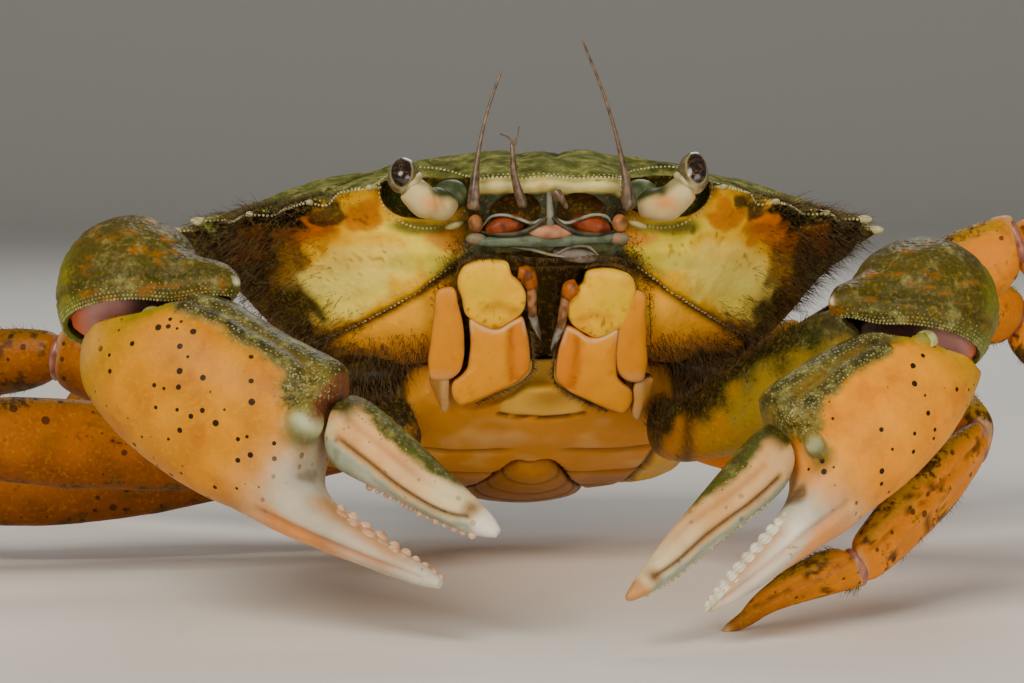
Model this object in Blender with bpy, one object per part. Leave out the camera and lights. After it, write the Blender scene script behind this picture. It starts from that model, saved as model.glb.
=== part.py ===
"""Shore crab at life size, standing on its eight walking legs with both claws held before its face.

The crab faces -Y, its right claw is at -X and the floor is z = 0.
Lengths are in millimetres until a mesh is made.
The shell's pieces are solids that meet with a small gap. Nothing on the model moves.
"""

import math

import bmesh
import bpy
from mathutils import Matrix, Vector

MM = 0.001
GAP = 0.3  # left between two pieces that meet
CENTRE = Vector((7.5, -9.0, 0.0))  # brings the middle of the whole model over the origin

# The body has its own frame: x across, y from front to rear, z up, with its origin between the last
# pair of side teeth and level with the brow.
BODY_PLACE = Vector((1.68, 7.83, 33.76))
BODY_YAW = math.radians(5.2)
BODY_NOSE_UP = math.radians(16.0)

# Carapace
BROW_Y = -21.8
REAR_Y = 33.0
MIDDLE_Y = 3.0
HALF_WIDTH = 34.0
DOME_HEIGHT = 7.2
BELLY_DEPTH = 16.5  # of the carapace's lower edge below the brow, at the front
BELLY_TAPER = 0.42  # share of that depth lost from front to rear
DOME_SHARES = (0.22, 0.45, 0.66, 0.82, 0.93)  # the back's rings, each a share of the rim
# share, depth, level
WALL_RINGS = ((0.93, 3.2, 0.5), (0.86, 6.4, 0.2), (0.79, 10.0, 0.0), (0.70, 13.6, 0.0))
ROLLED_EDGE = (0.985, 1.1, 0.55)  # share, depth and what is left of the teeth just below the rim
BELLY_SHARE = 0.58

# Thorax, the plate under the carapace that the limbs grow from
THORAX_HALF_WIDTH = 17.0
THORAX_HALF_LENGTH = 18.5
THORAX_Y = 6.0
THORAX_DEPTH = 24.8
THORAX_DEEPEST_Y = 12.0
THORAX_CURVE = 0.0075
THORAX_POWER = 0.84
THORAX_SIDES = 28
THORAX_ROOF = ((0.92, GAP), (1.0, 1.2))  # share and drop below the carapace
THORAX_FLOOR = (1.0, 0.94, 0.82, 0.6, 0.3)
SOCKET_DEPTH = 20.0  # of the legs' roots below the brow
CLAW_SOCKET_DEPTH = 21.5
CLAW_SOCKET_Y = -6.5

SHELL_GREEN = ("shell_green", (0.13, 0.16, 0.05), 0.55)
SHELL_ORANGE = ("shell_orange", (0.80, 0.36, 0.05), 0.45)
SHELL_YELLOW = ("shell_yellow", (0.83, 0.60, 0.16), 0.45)
SHELL_PALE = ("shell_pale", (0.80, 0.74, 0.62), 0.40)
EYE_DARK = ("eye_dark", (0.07, 0.05, 0.05), 0.20)
FEELER_BROWN = ("feeler_brown", (0.28, 0.20, 0.12), 0.50)


def body_point(x, y, z):
    """A point of the body's own frame, in the frame that the crab stands in."""
    turn = Matrix.Rotation(BODY_YAW, 3, "Z") @ Matrix.Rotation(-BODY_NOSE_UP, 3, "X")
    return turn @ Vector((x, y, z)) + BODY_PLACE


def finish_of(look):
    name, colour, roughness = look
    made = bpy.data.materials.get(name)
    if made is None:
        made = bpy.data.materials.new(name)
        made.use_nodes = True
        shader = made.node_tree.nodes["Principled BSDF"]
        shader.inputs["Base Color"].default_value = (*colour, 1.0)
        shader.inputs["Roughness"].default_value = roughness
        shader.inputs["Metallic"].default_value = 0.0
    return made


def add_object(name, shape, look):
    """Makes the object of a bmesh that is in millimetres."""
    bmesh.ops.translate(shape, vec=CENTRE, verts=shape.verts)
    bmesh.ops.scale(shape, vec=(MM, MM, MM), verts=shape.verts)
    bmesh.ops.recalc_face_normals(shape, faces=shape.faces)
    mesh = bpy.data.meshes.new(name)
    shape.to_mesh(mesh)
    shape.free()
    mesh.materials.append(finish_of(look))
    mesh.shade_smooth()
    mesh.set_sharp_from_angle(angle=math.radians(40))
    made = bpy.data.objects.new(name, mesh)
    bpy.context.scene.collection.objects.link(made)
    return made


def cut_out(target, name, shape):
    """Cuts a bmesh out of the target."""
    cutter = add_object(f"cutter_{name}", shape, SHELL_GREEN)
    cutter.hide_render = True
    cutter.display_type = "WIRE"
    cut = target.modifiers.new(name, "BOOLEAN")
    cut.operation = "DIFFERENCE"
    cut.solver = "EXACT"
    cut.object = cutter


def skin_over(rings, poles=(None, None)):
    """A closed bmesh over rings of points. Each end is a flat cap, or a fan to its pole."""
    around = len(rings[0])
    shape = bmesh.new()
    grid = bmesh.ops.create_grid(shape, x_segments=around, y_segments=len(rings) - 1, size=1.0)
    vertices = list(grid["verts"])
    for row, ring in enumerate(rings):
        for column, point in enumerate([*ring, ring[0]]):
            vertices[row * (around + 1) + column].co = point
    ends = [vertices[:around], vertices[-around - 1 : -1]]
    starts = [row * (around + 1) for row in range(len(rings))]
    bmesh.ops.weld_verts(shape, targetmap={vertices[start + around]: vertices[start] for start in starts})
    for end, pole in zip(ends, poles, strict=True):
        cap = bmesh.ops.contextual_create(shape, geom=end)["faces"]
        if pole is not None:
            bmesh.ops.poke(shape, faces=cap)["verts"][0].co = pole
    return shape


def power(value, exponent):
    return math.copysign(abs(value) ** exponent, value)


def oval(centre, up, side, sides=10, squareness=0.9):
    """A ring of points round centre, with its two half axes as vectors."""
    turns = [2 * math.pi * k / sides for k in range(sides)]
    return [
        centre + up * power(math.cos(t), squareness) + side * power(math.sin(t), squareness)
        for t in turns
    ]


# The carapace's outline from above, for the crab's left: the brow as x and how far it is set back,
# the rest as x and y, with the height of the rim where it isn't level.
BROW = ((0.0, 0.0), (1.6, 0.5), (2.7, 0.8), (4.6, 0.3), (6.3, 0.8), (7.3, 2.0))
SOCKET_EDGE = ((8.3, -18.0), (10.6, -17.0), (13.4, -17.2), (15.6, -18.1))
NOTCHES = ((16.6, -18.3), (21.0, -16.0), (26.3, -12.5), (31.2, -7.5), (33.5, -2.2), (34.6, 2.2))
TOOTH_TIPS = ((17.3, -19.6), (23.0, -16.7), (28.8, -12.6), (33.9, -6.6), (36.4, -0.7))
TOOTH_LEVELS = (-0.6, -1.3, -1.4, -0.6, -0.2, -0.6)
FLANK = ((32.6, 7.4, -1.2), (29.2, 13.8, -2.0), (25.4, 20.0, -3.0), (21.4, 25.8, -4.0))
REAR = ((17.0, 30.3, -4.6), (11.5, 32.6, -4.8), (5.8, REAR_Y, -4.6))


def half_outline():
    """The outline from brow to rear on one side, as x, y, z and how far a tooth stands out there."""
    flat = (0.0, 0.0)
    found = [(x, BROW_Y + back, 0.0, flat) for x, back in BROW]
    found += [(x, y, -0.1, flat) for x, y in SOCKET_EDGE]
    for k, tip in enumerate(TOOTH_TIPS):
        here, after = Vector(NOTCHES[k]), Vector(NOTCHES[k + 1])
        base = here.lerp(after, 0.3)
        outward = Vector((after.y - here.y, here.x - after.x)).normalized()
        found.append((*base, TOOTH_LEVELS[k], tuple(Vector(tip) - base)))
        found.append((*here.lerp(after, 0.68), TOOTH_LEVELS[k], tuple(outward * 0.9)))
        found.append((*after, TOOTH_LEVELS[k + 1], flat))
    found += [(*point, flat) for point in FLANK + REAR]
    return found


def whole_outline():
    half = half_outline()
    mirrored = [(-x, y, z, (-tooth[0], tooth[1])) for x, y, z, tooth in reversed(half[1:])]
    return half + [(0.0, REAR_Y, -4.5, (0.0, 0.0))] + mirrored


def belly_share(y):
    """What is left at y of the depth that the carapace's lower edge has in front."""
    return 1.0 - BELLY_TAPER * (y - BROW_Y) / (REAR_Y - BROW_Y)


def rounded(x, y, shrink):
    """A point of the outline drawn in to shrink. Further in, the ring turns into a smooth oval."""
    across, ahead = x, y - MIDDLE_Y
    reach = (REAR_Y if ahead > 0 else -BROW_Y) - (MIDDLE_Y if ahead > 0 else -MIDDLE_Y)
    smooth = 1 / math.hypot(across / HALF_WIDTH, ahead / reach)
    share = shrink * (1 + (smooth - 1) * (1 - shrink**2))
    return across * share, MIDDLE_Y + ahead * share


def carapace_ring(shrink, depth, tooth_share, level):
    """level is how much of the rim's own height the ring keeps. Below the rim, depth follows the belly."""
    ring = []
    for x, y, z, tooth in whole_outline():
        px, py = rounded(x, y, shrink)
        pz = z * level - depth * (belly_share(py) if depth > 2 else 1.0)
        ring.append(body_point(px + tooth[0] * tooth_share, py + tooth[1] * tooth_share, pz))
    return ring


def make_carapace():
    rings = []
    for shrink in DOME_SHARES:
        rise = DOME_HEIGHT * (1 - shrink**2.3) ** 0.9
        rings.append(carapace_ring(shrink, -rise, 0.4 if shrink > 0.9 else 0.0, shrink**2))
    rings.append(carapace_ring(1.0, 0.0, 1.0, 1))
    rings.append(carapace_ring(*ROLLED_EDGE, 1))
    for shrink, depth, level in WALL_RINGS:
        rings.append(carapace_ring(shrink, depth, 0.0, level))
    rings.append(carapace_ring(BELLY_SHARE, BELLY_DEPTH, 0.0, 0.0))
    top = body_point(0, MIDDLE_Y, DOME_HEIGHT)
    bottom = body_point(0, MIDDLE_Y, -BELLY_DEPTH * belly_share(MIDDLE_Y))
    carapace = add_object("carapace", skin_over(rings, (top, bottom)), SHELL_GREEN)
    for side, label in ((-1, "R"), (1, "L")):
        cut_out(carapace, f"eye_socket_{label}", eye_socket(side))
    cut_out(carapace, "mouth_in_carapace", mouth_recess())


EYE_SOCKET = Vector((11.7, -19.0, -0.7))
EYE_SOCKET_RADII = (4.8, 4.2, 3.5)
BALL_SIDES = 14
BALL_ROWS = 9


def eye_socket(side):
    """The hollow that an eye lies in."""
    shape = bmesh.new()
    bmesh.ops.create_uvsphere(shape, u_segments=BALL_SIDES, v_segments=BALL_ROWS, radius=1.0)
    bmesh.ops.scale(shape, vec=EYE_SOCKET_RADII, verts=shape.verts)
    for vertex in shape.verts:
        x, y, z = vertex.co + EYE_SOCKET
        vertex.co = body_point(side * x, y, z)
    if side < 0:
        bmesh.ops.reverse_faces(shape, faces=shape.faces)
    return shape


# The mouth's plane slopes down and back from below the brow.
MOUTH_TOP = Vector((0.0, -18.0, -8.0))
MOUTH_FOOT = Vector((0.0, -10.1, -20.9))
MOUTH_RECESS = 2.4
MOUTH_CLEARANCE = 12.0  # how far a cutter of the mouth stands out of its plane


def mouth_point(x, down, out):
    """A point on the mouth's plane: x across, down from 0 at its top to 1 at its foot, out of it."""
    along = MOUTH_FOOT - MOUTH_TOP
    normal = Vector((0.0, along.z, -along.y)).normalized()
    place = MOUTH_TOP + along * down + normal * out
    return body_point(x, place.y, place.z)


MOUTH_RECESS_OUTLINE = (
    (0.0, 0.82), (1.7, 0.82), (2.6, 0.88), (4.8, 0.96), (7.0, 1.02), (9.0, 1.03), (11.4, 0.88), (12.0, 0.24),
    (8.4, -0.1), (0.0, -0.12),
)
MOUTH_APRON_OUTLINE = ((0.0, 0.6), (12.4, 0.6), (13.0, 1.1), (10.0, 1.5), (0.0, 1.5))


def mouth_cutter(half, inner):
    """A cutter from inner outwards over an outline on the mouth's plane, given for the crab's left."""
    outline = [*half, *((-x, down) for x, down in reversed(half) if x > 0)]
    rings = [[mouth_point(x, down, out) for x, down in outline] for out in (inner, MOUTH_CLEARANCE)]
    return skin_over(rings)


def mouth_recess():
    """The shallow hollow that the outer mouthparts close."""
    return mouth_cutter(MOUTH_RECESS_OUTLINE, -MOUTH_RECESS)


def thorax_floor(share, y):
    """Height of the thorax's underside where its outline is drawn in to share."""
    depth = THORAX_DEPTH - THORAX_CURVE * (y - THORAX_DEEPEST_Y) ** 2
    return -depth * (0.87 + 0.13 * (1 - share**3) ** 0.6)


def thorax_share(x, y):
    """How far out a point lies: 1 on the thorax's outline."""
    terms = abs(x / THORAX_HALF_WIDTH) ** (2 / THORAX_POWER)
    terms += abs((y - THORAX_Y) / THORAX_HALF_LENGTH) ** (2 / THORAX_POWER)
    return min(1.0, terms ** (THORAX_POWER / 2))


def thorax_edge(turn, share):
    x = THORAX_HALF_WIDTH * power(math.cos(turn), THORAX_POWER) * share
    y = THORAX_Y + THORAX_HALF_LENGTH * power(math.sin(turn), THORAX_POWER) * share
    return x, y


def make_thorax(cutters):
    turns = [2 * math.pi * k / THORAX_SIDES for k in range(THORAX_SIDES)]
    rings = []
    for share, drop in THORAX_ROOF:
        edge = [thorax_edge(turn, share) for turn in turns]
        rings.append([body_point(x, y, -BELLY_DEPTH * belly_share(y) - drop) for x, y in edge])
    for share in THORAX_FLOOR:
        edge = [thorax_edge(turn, share) for turn in turns]
        rings.append([body_point(x, y, thorax_floor(share, y)) for x, y in edge])
    top = body_point(0, THORAX_Y, -BELLY_DEPTH * belly_share(THORAX_Y) - GAP)
    bottom = body_point(0, THORAX_Y, thorax_floor(0, THORAX_Y))
    thorax = add_object("thorax", skin_over(rings, (top, bottom)), SHELL_ORANGE)
    cut_out(thorax, "mouth_in_thorax", mouth_recess())
    cut_out(thorax, "apron_below_mouth", mouth_cutter(MOUTH_APRON_OUTLINE, 0.3))
    cut_out(thorax, "abdomen_bed", abdomen_shape(GAP))
    for name, shape in cutters.items():
        cut_out(thorax, name, shape)


ABDOMEN_STEPS = 7
ABDOMEN_REAR_Y = 24.0
ABDOMEN_LENGTH = 23.0
ABDOMEN_TIP = 1.7  # half width
ABDOMEN_FLARE = 6.6  # by which its root is wider than its tip, on each side


def abdomen_shape(grow):
    """A male's narrow tail, folded forward into a bed in the thorax's underside."""
    rings = []
    for k in range(ABDOMEN_STEPS):
        share = k / (ABDOMEN_STEPS - 1)
        end = grow * (1 if k == 0 else -1 if k == ABDOMEN_STEPS - 1 else 0)
        y = ABDOMEN_REAR_Y - ABDOMEN_LENGTH * share + end
        half_width = ABDOMEN_FLARE * (1 - share) ** 0.8 + ABDOMEN_TIP + grow
        floor = thorax_floor(thorax_share(0, y), y)
        top = 1.5 + grow
        section = ((-1, top), (-1, -0.3), (-0.55, -1.0), (0, -1.3), (0.55, -1.0), (1, -0.3), (1, top))
        rings.append([body_point(x * half_width, y, floor + z) for x, z in section])
    return skin_over(rings)


MOUTH_PLATES = {
    "lower": (
        (7.2, 0.39), (6.2, 0.43), (4.7, 0.46), (3.1, 0.40), (2.3, 0.38), (1.9, 0.46), (1.5, 0.60),
        (1.6, 0.73),
        (2.4, 0.79), (4.6, 0.86), (6.8, 0.92), (8.3, 0.93), (8.4, 0.87), (7.8, 0.77), (7.1, 0.68),
        (7.1, 0.50),
    ),
    "upper": (
        (8.4, 0.10), (8.1, 0.02), (6.9, -0.02), (5.0, -0.03), (3.8, -0.01), (3.4, 0.06),
        (2.5, 0.12), (2.1, 0.20),
        (2.5, 0.30), (3.6, 0.36), (4.9, 0.40), (6.3, 0.37), (7.6, 0.31), (8.0, 0.22),
    ),
    "strip": (
        (10.0, 0.16), (8.9, 0.14), (8.4, 0.24), (7.9, 0.34), (7.5, 0.46), (7.5, 0.60),
        (7.9, 0.68), (9.0, 0.74),
        (10.3, 0.73), (10.7, 0.66), (10.6, 0.48), (10.3, 0.29),
    ),
}  # x and how far down the mouth, for the crab's left
MOUTH_PLATES_LEAN = 0.03  # how much lower the left ones hang, and the right ones higher
MOUTH_PLATE_RINGS = ((GAP - MOUTH_RECESS, 0.97), (0.2, 0.98), (1.0, 0.78))  # out of the mouth, share


def make_mouthparts(side, label):
    """The outer mouthparts close the mouth like doors: a long lower plate, a rounder upper plate and a
    narrow strip beside them."""
    for name, corners in MOUTH_PLATES.items():
        outline = [(x, down + side * MOUTH_PLATES_LEAN) for x, down in corners]
        middle = Vector((sum(x for x, _ in outline), sum(down for _, down in outline))) / len(outline)
        rings = []
        for out, grow in MOUTH_PLATE_RINGS:
            corners = [middle + (Vector(corner) - middle) * grow for corner in outline]
            rings.append([mouth_point(side * corner.x, corner.y, out) for corner in corners])
        add_object(f"mouthpart_{name}_{label}", skin_over(rings), SHELL_ORANGE)


def make_tube(name, points, radii, look, sides=8):
    """A tapering tube along points, flat at both ends."""
    rings = []
    for k, point in enumerate(points):
        along = (points[min(k + 1, len(points) - 1)] - points[max(k - 1, 0)]).normalized()
        up, side = limb_frame(along, Vector((1, 0.2, 0)))
        rings.append(oval(point, up * radii[k], side * radii[k], sides, 1.0))
    add_object(name, skin_over(rings), look)


EYE_ROOT = (9.3, -18.5, -2.0)
EYE_BEND = (11.6, -20.2, -2.4)
EYE_NECK = (13.3, -20.7, -0.8)
EYE_CROWN = {"R": (14.1, -20.8, 1.9), "L": (14.4, -20.7, 2.5)}
STALK_RADII = (1.2, 1.7, 1.75, 1.5, 1.4)
EYE_RADII = (1.4, 1.5, 1.5, 1.15, 0.5)
EYE_COLLAR = 0.8
EYE_SHARES = (0.45, 0.75, 0.95)  # of the way from its base to its crown


def make_eye(side, label):
    """A short stalk that leans out of its socket, with the eye on its end."""
    root, bend, neck, crown = (
        body_point(side * x, y, z) for x, y, z in (EYE_ROOT, EYE_BEND, EYE_NECK, EYE_CROWN[label])
    )
    stalk = [root, root.lerp(bend, 0.5), bend, bend.lerp(neck, 0.6), neck]
    make_tube(f"eyestalk_{label}", stalk, STALK_RADII, SHELL_PALE)
    lean = (neck - bend).normalized()
    base = neck + lean * GAP
    lens = [base, base + lean * EYE_COLLAR, *(base.lerp(crown, share) for share in EYE_SHARES)]
    make_tube(f"eye_{label}", lens, EYE_RADII, EYE_DARK)


LONG_FEELER_ROOT = (7.4, -22.3, -3.6)
LONG_FEELER_KNUCKLE = (7.3, -23.0, -1.2)
LONG_FEELER_TIPS = {"R": (-4.4, -23.5, 10.2), "L": (3.2, -24.2, 13.0)}
LONG_FEELER_RADII = (0.95, 0.85, 0.7, 0.42, 0.36, 0.32, 0.3, 0.27, 0.25)
LONG_FEELER_BOW = 0.5
SHORT_FEELER_RADII = (0.75, 0.7, 0.55, 0.45, 0.35)
FEELER_SIDES = 6
SHORT_FEELERS = {
    "R": ((-2.5, -21.6, -3.2), (-3.5, -22.9, -0.5), (-3.65, -23.3, 3.0)),
    "L": ((0.4, -22.6, -1.7), (0.9, -23.0, -2.4), (1.6, -22.3, -3.4)),
}


def make_feelers(side, label):
    """The long feeler beside the eye and the short one under the brow."""
    root, knuckle = (body_point(side * x, y, z) for x, y, z in (LONG_FEELER_ROOT, LONG_FEELER_KNUCKLE))
    tip = body_point(*LONG_FEELER_TIPS[label])
    shares = [k / 6 for k in range(1, 7)]
    bow = Vector((LONG_FEELER_BOW * side, 0, 0))
    whip = [knuckle.lerp(tip, share) + bow * math.sin(math.pi * share) for share in shares]
    points = [root, root.lerp(knuckle, 0.5), knuckle, *whip]
    make_tube(f"feeler_long_{label}", points, LONG_FEELER_RADII, FEELER_BROWN, FEELER_SIDES)
    start, bend, end = (body_point(*place) for place in SHORT_FEELERS[label])
    points = [start, start.lerp(bend, 0.5), bend, bend.lerp(end, 0.5), end]
    make_tube(f"feeler_short_{label}", points, SHORT_FEELER_RADII, FEELER_BROWN, FEELER_SIDES)


def limb_frame(along, hint):
    """The two directions across a limb: up, as near to hint as can be, and sideways."""
    up = (hint - along * hint.dot(along)).normalized()
    return up, along.cross(up)


def socket_point(side, y, depth=SOCKET_DEPTH):
    """Where a limb leaves the thorax, a little inside its edge."""
    across = abs((y - THORAX_Y) / THORAX_HALF_LENGTH) ** (2 / THORAX_POWER)
    x = THORAX_HALF_WIDTH * (1 - across) ** (THORAX_POWER / 2)
    return body_point(side * (x - 0.8), y, -depth)


def limb_rings(start, end, before, after, hint, profile, size, flatness, sides):
    """Rings of one limb piece from start to end. Its end rings lie on the planes that halve the bends
    towards before and after, so that neighbours meet without crossing. profile is pairs of the share of
    the length and the half height against size."""
    along = (end - start).normalized()
    first = (along + (start - before).normalized()).normalized() if before else along
    last = (along + (after - end).normalized()).normalized() if after else along
    rings = []
    for share, half in profile:
        towards = first if share < 0.5 else last
        near = max(0.0, 1 - min(share, 1 - share) / 0.4)
        normal = along.lerp(towards, near**1.2).normalized()
        up, side = limb_frame(normal, hint)
        centre = start.lerp(end, share) + along * (GAP / 2 * (1 - 2 * share))
        rings.append(oval(centre, up * half * size, side * half * size * flatness, sides))
    return rings


LIMB_ROOT = ((0.0, 0.62), (0.25, 0.66), (0.6, 0.6))
ROOT_FLATNESS = 0.85
ROOT_REACH = 30.0


def root_rings(socket, hip, hint, size, flatness, sides):
    """The first short joints of a limb, between the thorax and its first long piece."""
    return limb_rings(socket, hip, None, None, hint, LIMB_ROOT, size, flatness, sides)


def root_bed(socket, hip, hint, size, flatness):
    """The hollow in the thorax that a limb's root stands in."""
    along = (hip - socket).normalized()
    up, side = limb_frame(along, hint)
    half = size * 0.64 + GAP * 1.6
    rings = []
    for reach in (-GAP, ROOT_REACH):
        rings.append(oval(socket + along * reach, up * half, side * half * (flatness + 0.1), 10))
    return skin_over(rings)


# Share of the length and half height against the limb's size, for each piece.
THIGH = ((0.12, 0.64), (0.3, 0.84), (0.55, 1.0), (0.82, 0.96), (0.95, 0.84), (1.0, 0.68))
KNEE = ((0.0, 0.58), (0.14, 0.74), (0.45, 0.86), (0.82, 0.92), (1.0, 0.66))
SHIN = ((0.0, 0.60), (0.12, 0.76), (0.4, 0.84), (0.8, 0.72), (1.0, 0.52))
TOE = ((0.0, 0.52), (0.12, 0.56), (0.4, 0.45), (0.7, 0.3), (0.9, 0.18))

# For each leg: where it leaves the thorax, its size, and the places of hip, knee, ankle, toe joint and tip.
LEGS = {
    "R2": (-1.5, 4.5, (-22, -3, 11.5), (-54, -12, 14.8), (-66, -16, 15.5), (-84, -21, 8.5), (-98, -25, 0)),
    "R3": (5.0, 4.7, (-25, 7, 10.0), (-55, 3.5, 7.8), (-68, 1, 10.5), (-87, -3, 8.5), (-103, -7, 0)),
    "R4": (11.5, 4.3, (-23, 17.5, 13.5), (-49, 23.5, 19.8), (-61, 26.5, 18.5),
           (-76, 30.5, 11.5), (-90, 34, 0)),
    "R5": (17.5, 3.6, (-18.5, 27.5, 13.5), (-36, 40.5, 19.0), (-44, 46.5, 17.0),
           (-53, 54.5, 9.5), (-60, 61, 0)),
    "L2": (-1.5, 4.3, (20.5, 1, 11.5), (39.3, -10.8, 18.6), (43.1, -23.2, 15.3),
           (30.7, -34.2, 5.2), (19, -37.5, 0)),
    "L3": (5.0, 4.7, (25, 11, 17.0), (52.5, 12.5, 32.3), (64.5, 12.5, 28.8), (79, 12, 14.5), (88, 11, 0)),
    "L4": (11.5, 4.3, (23.5, 21.5, 15.5), (46, 32, 26.0), (56.5, 36.5, 23.0),
           (69.5, 42.5, 12.0), (79, 47, 0)),
    "L5": (17.5, 3.6, (18, 31, 13.5), (33, 44, 20.0), (40, 50.5, 18.0), (48, 59, 10.0), (54, 66, 0)),
}
LEG_FLATNESS = 0.52
KNEE_FLATNESS = 0.62
TOE_TIP = (0.75, 0.55)  # half length and half width of its flat on the floor
TOE_BOW = 0.09
SWIMMING_LEG_FLATNESS = 0.42


def leg_side(label):
    return -1 if label.startswith("R") else 1


def leg_setting(label):
    """A leg's joints, its size, its flatness and the direction that its bends lie in."""
    socket_y, size, *places = LEGS[label]
    joints = [socket_point(leg_side(label), socket_y), *(Vector(place) for place in places)]
    hint = Vector((0, 0, 1)) + (joints[2] - joints[1]).normalized() * 0.2
    return joints, size, SWIMMING_LEG_FLATNESS if label.endswith("5") else LEG_FLATNESS, hint


def make_leg(label):
    """A walking leg's thigh, knee, shin and toe."""
    (socket, hip, knee, ankle, toe, foot), size, flatness, hint = leg_setting(label)
    root = root_rings(socket, hip, hint, size, ROOT_FLATNESS, 10)
    thigh = limb_rings(hip, knee, socket, ankle, hint, THIGH, size, flatness, 10)
    shapes = {
        "thigh": root + thigh,
        "knee": limb_rings(knee, ankle, hip, toe, hint, KNEE, size, KNEE_FLATNESS, 8),
        "shin": limb_rings(ankle, toe, knee, foot, hint, SHIN, size, flatness, 8),
        "toe": toe_rings(ankle, toe, foot, hint, size, flatness),
    }
    for name, rings in shapes.items():
        add_object(f"leg_{label}_{name}", skin_over(rings), SHELL_ORANGE)


def toe_rings(ankle, toe, foot, hint, size, flatness):
    """A curved, pointed toe whose tip ends in a small level flat on the floor."""
    along = (foot - toe).normalized()
    up, _ = limb_frame(along, hint)
    length = (foot - toe).length
    first = (along + (toe - ankle).normalized()).normalized()
    rings = []
    for share, half in TOE:
        normal = along.lerp(first, max(0.0, 1 - share / 0.3)).normalized()
        ring_up, side = limb_frame(normal, hint)
        bow = up * (TOE_BOW * length * math.sin(math.pi * share**0.8))
        centre = toe.lerp(foot, share) + along * (GAP / 2 * (1 - share)) + bow
        rings.append(oval(centre, ring_up * half * size, side * half * size * flatness * 1.2, 8))
    level_up, side = limb_frame(Vector((0, 0, -1)), up)
    rings.append(oval(foot, level_up * TOE_TIP[0], side * TOE_TIP[1], 8))
    return rings


# A claw is drawn side on, in the plane of its wrist and its fixed finger's tip: along it and up from
# that line. Each rib is the along and up of its lower end, those of its upper end, and its thickness.
# The wrist piece is a dome, cut flat where the palm and the arm meet it.
ARM = ((0.1, 0.70), (0.32, 0.88), (0.6, 1.0), (0.86, 0.94), (1.0, 0.72))
ARM_SIDES = 12
PALM_SIDES = 14
FINGER_SIDES = 10
CRUSHER = {
    "wrist": Vector((-36.6, -34.0, 25.1)),
    "tip": Vector((-6.3, -47.0, 5.6)),
    "palm": (
        (-0.6, -2.4, 4.2, 7.6, 8.4), (2.0, -4.4, 6.4, 9.5, 10.6), (5.6, -5.5, 9.0, 9.8, 11.6),
        (10.0, -5.9, 12.4, 9.9, 11.8), (15.0, -5.8, 15.8, 10.1, 11.4), (19.2, -4.9, 19.4, 10.7, 10.0),
        (21.4, -4.6, 21.4, 10.9, 9.2), (23.2, -4.3, 22.7, 3.0, 8.2), (24.8, -3.9, 24.4, 0.6, 7.4),
        (28.2, -3.1, 28.0, 0.0, 6.0), (32.6, -2.1, 32.4, 0.2, 4.4), (36.0, -1.1, 35.9, 0.45, 3.0),
        (38.4, -0.2, 38.3, 0.4, 1.2),
    ),
    "finger": (
        (23.1, 4.6, 22.3, 9.0, 5.6), (24.7, 2.9, 23.6, 9.7, 6.8), (27.0, 3.3, 26.0, 9.5, 6.6),
        (30.1, 3.8, 29.4, 9.1, 5.8), (33.5, 4.2, 33.0, 8.5, 4.8), (36.6, 4.7, 36.4, 8.0, 3.6),
        (39.2, 5.5, 39.0, 7.5, 2.2), (40.3, 6.2, 40.2, 6.9, 0.9),
    ),
    "dome": Vector((-34.2, -29.5, 29.2)),
    "dome_radii": (6.9, 7.2, 7.4),
    "spine": Vector((-24.6, -36.0, 30.9)),
    "opening": (Vector((-40.3, -32.5, 27.0)), Vector((0.17, -0.42, -0.89))),
    "neck": Vector((-33.4, -33.6, 28.6)),
    "hip": Vector((-15.5, -8.5, 13.5)),
    "size": 5.2,
}
CUTTER = {
    "wrist": Vector((39.05, -28.0, 25.65)),
    "tip": Vector((16.9, -46.0, 3.4)),
    "palm": (
        (-0.2, -4.6, 2.4, 2.6, 7.0), (2.6, -5.7, 4.6, 4.6, 8.6), (6.0, -6.3, 7.2, 6.0, 9.4),
        (10.0, -6.6, 10.6, 7.1, 9.6), (14.4, -6.1, 14.2, 8.1, 9.0), (17.2, -5.5, 17.0, 8.6, 8.0),
        (18.8, -5.1, 18.3, 8.5, 7.4), (20.8, -4.8, 19.5, 2.8, 6.8), (22.8, -4.2, 22.1, 0.6, 6.2),
        (27.2, -2.9, 27.0, 0.3, 4.8), (31.6, -1.9, 31.4, 0.5, 3.6), (34.6, -0.9, 34.5, 0.5, 2.3),
        (36.2, -0.2, 36.1, 0.4, 0.9),
    ),
    "finger": (
        (20.7, 2.8, 19.2, 6.6, 4.4), (22.6, 1.7, 21.0, 7.1, 5.4), (25.0, 2.0, 24.0, 7.1, 5.0),
        (29.0, 2.8, 28.4, 7.0, 4.2), (33.4, 3.5, 33.0, 6.9, 3.3), (37.0, 4.2, 36.8, 6.7, 2.4),
        (39.6, 4.9, 39.5, 6.4, 1.5), (41.0, 5.7, 40.9, 6.1, 0.7),
    ),
    "dome": Vector((37.7, -24.6, 27.6)),
    "dome_radii": (7.0, 6.8, 6.8),
    "spine": Vector((29.7, -30.0, 28.9)),
    "opening": (Vector((43.5, -27.0, 23.4)), Vector((-0.25, -0.42, -0.87))),
    "neck": Vector((37.9, -28.4, 25.7)),
    "hip": Vector((17.0, -9.0, 14.2)),
    "size": 4.7,
}


def claw_frame(claw):
    """The claw's directions: along it, up to its crest, and out of its broad side to the front."""
    along = (claw["tip"] - claw["wrist"]).normalized()
    up = along.cross(Vector((0, 1, 0))).normalized()
    up *= math.copysign(1, up.z)
    out = along.cross(up)
    return along, up, out * math.copysign(1, -out.y)


def claw_ring(claw, rib, sides):
    low_along, low_up, high_along, high_up, thickness = rib
    along, up, out = claw_frame(claw)
    low = claw["wrist"] + along * low_along + up * low_up
    high = claw["wrist"] + along * high_along + up * high_up
    return oval((low + high) / 2, (high - low) / 2, out * thickness / 2, sides, 0.92)


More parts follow.
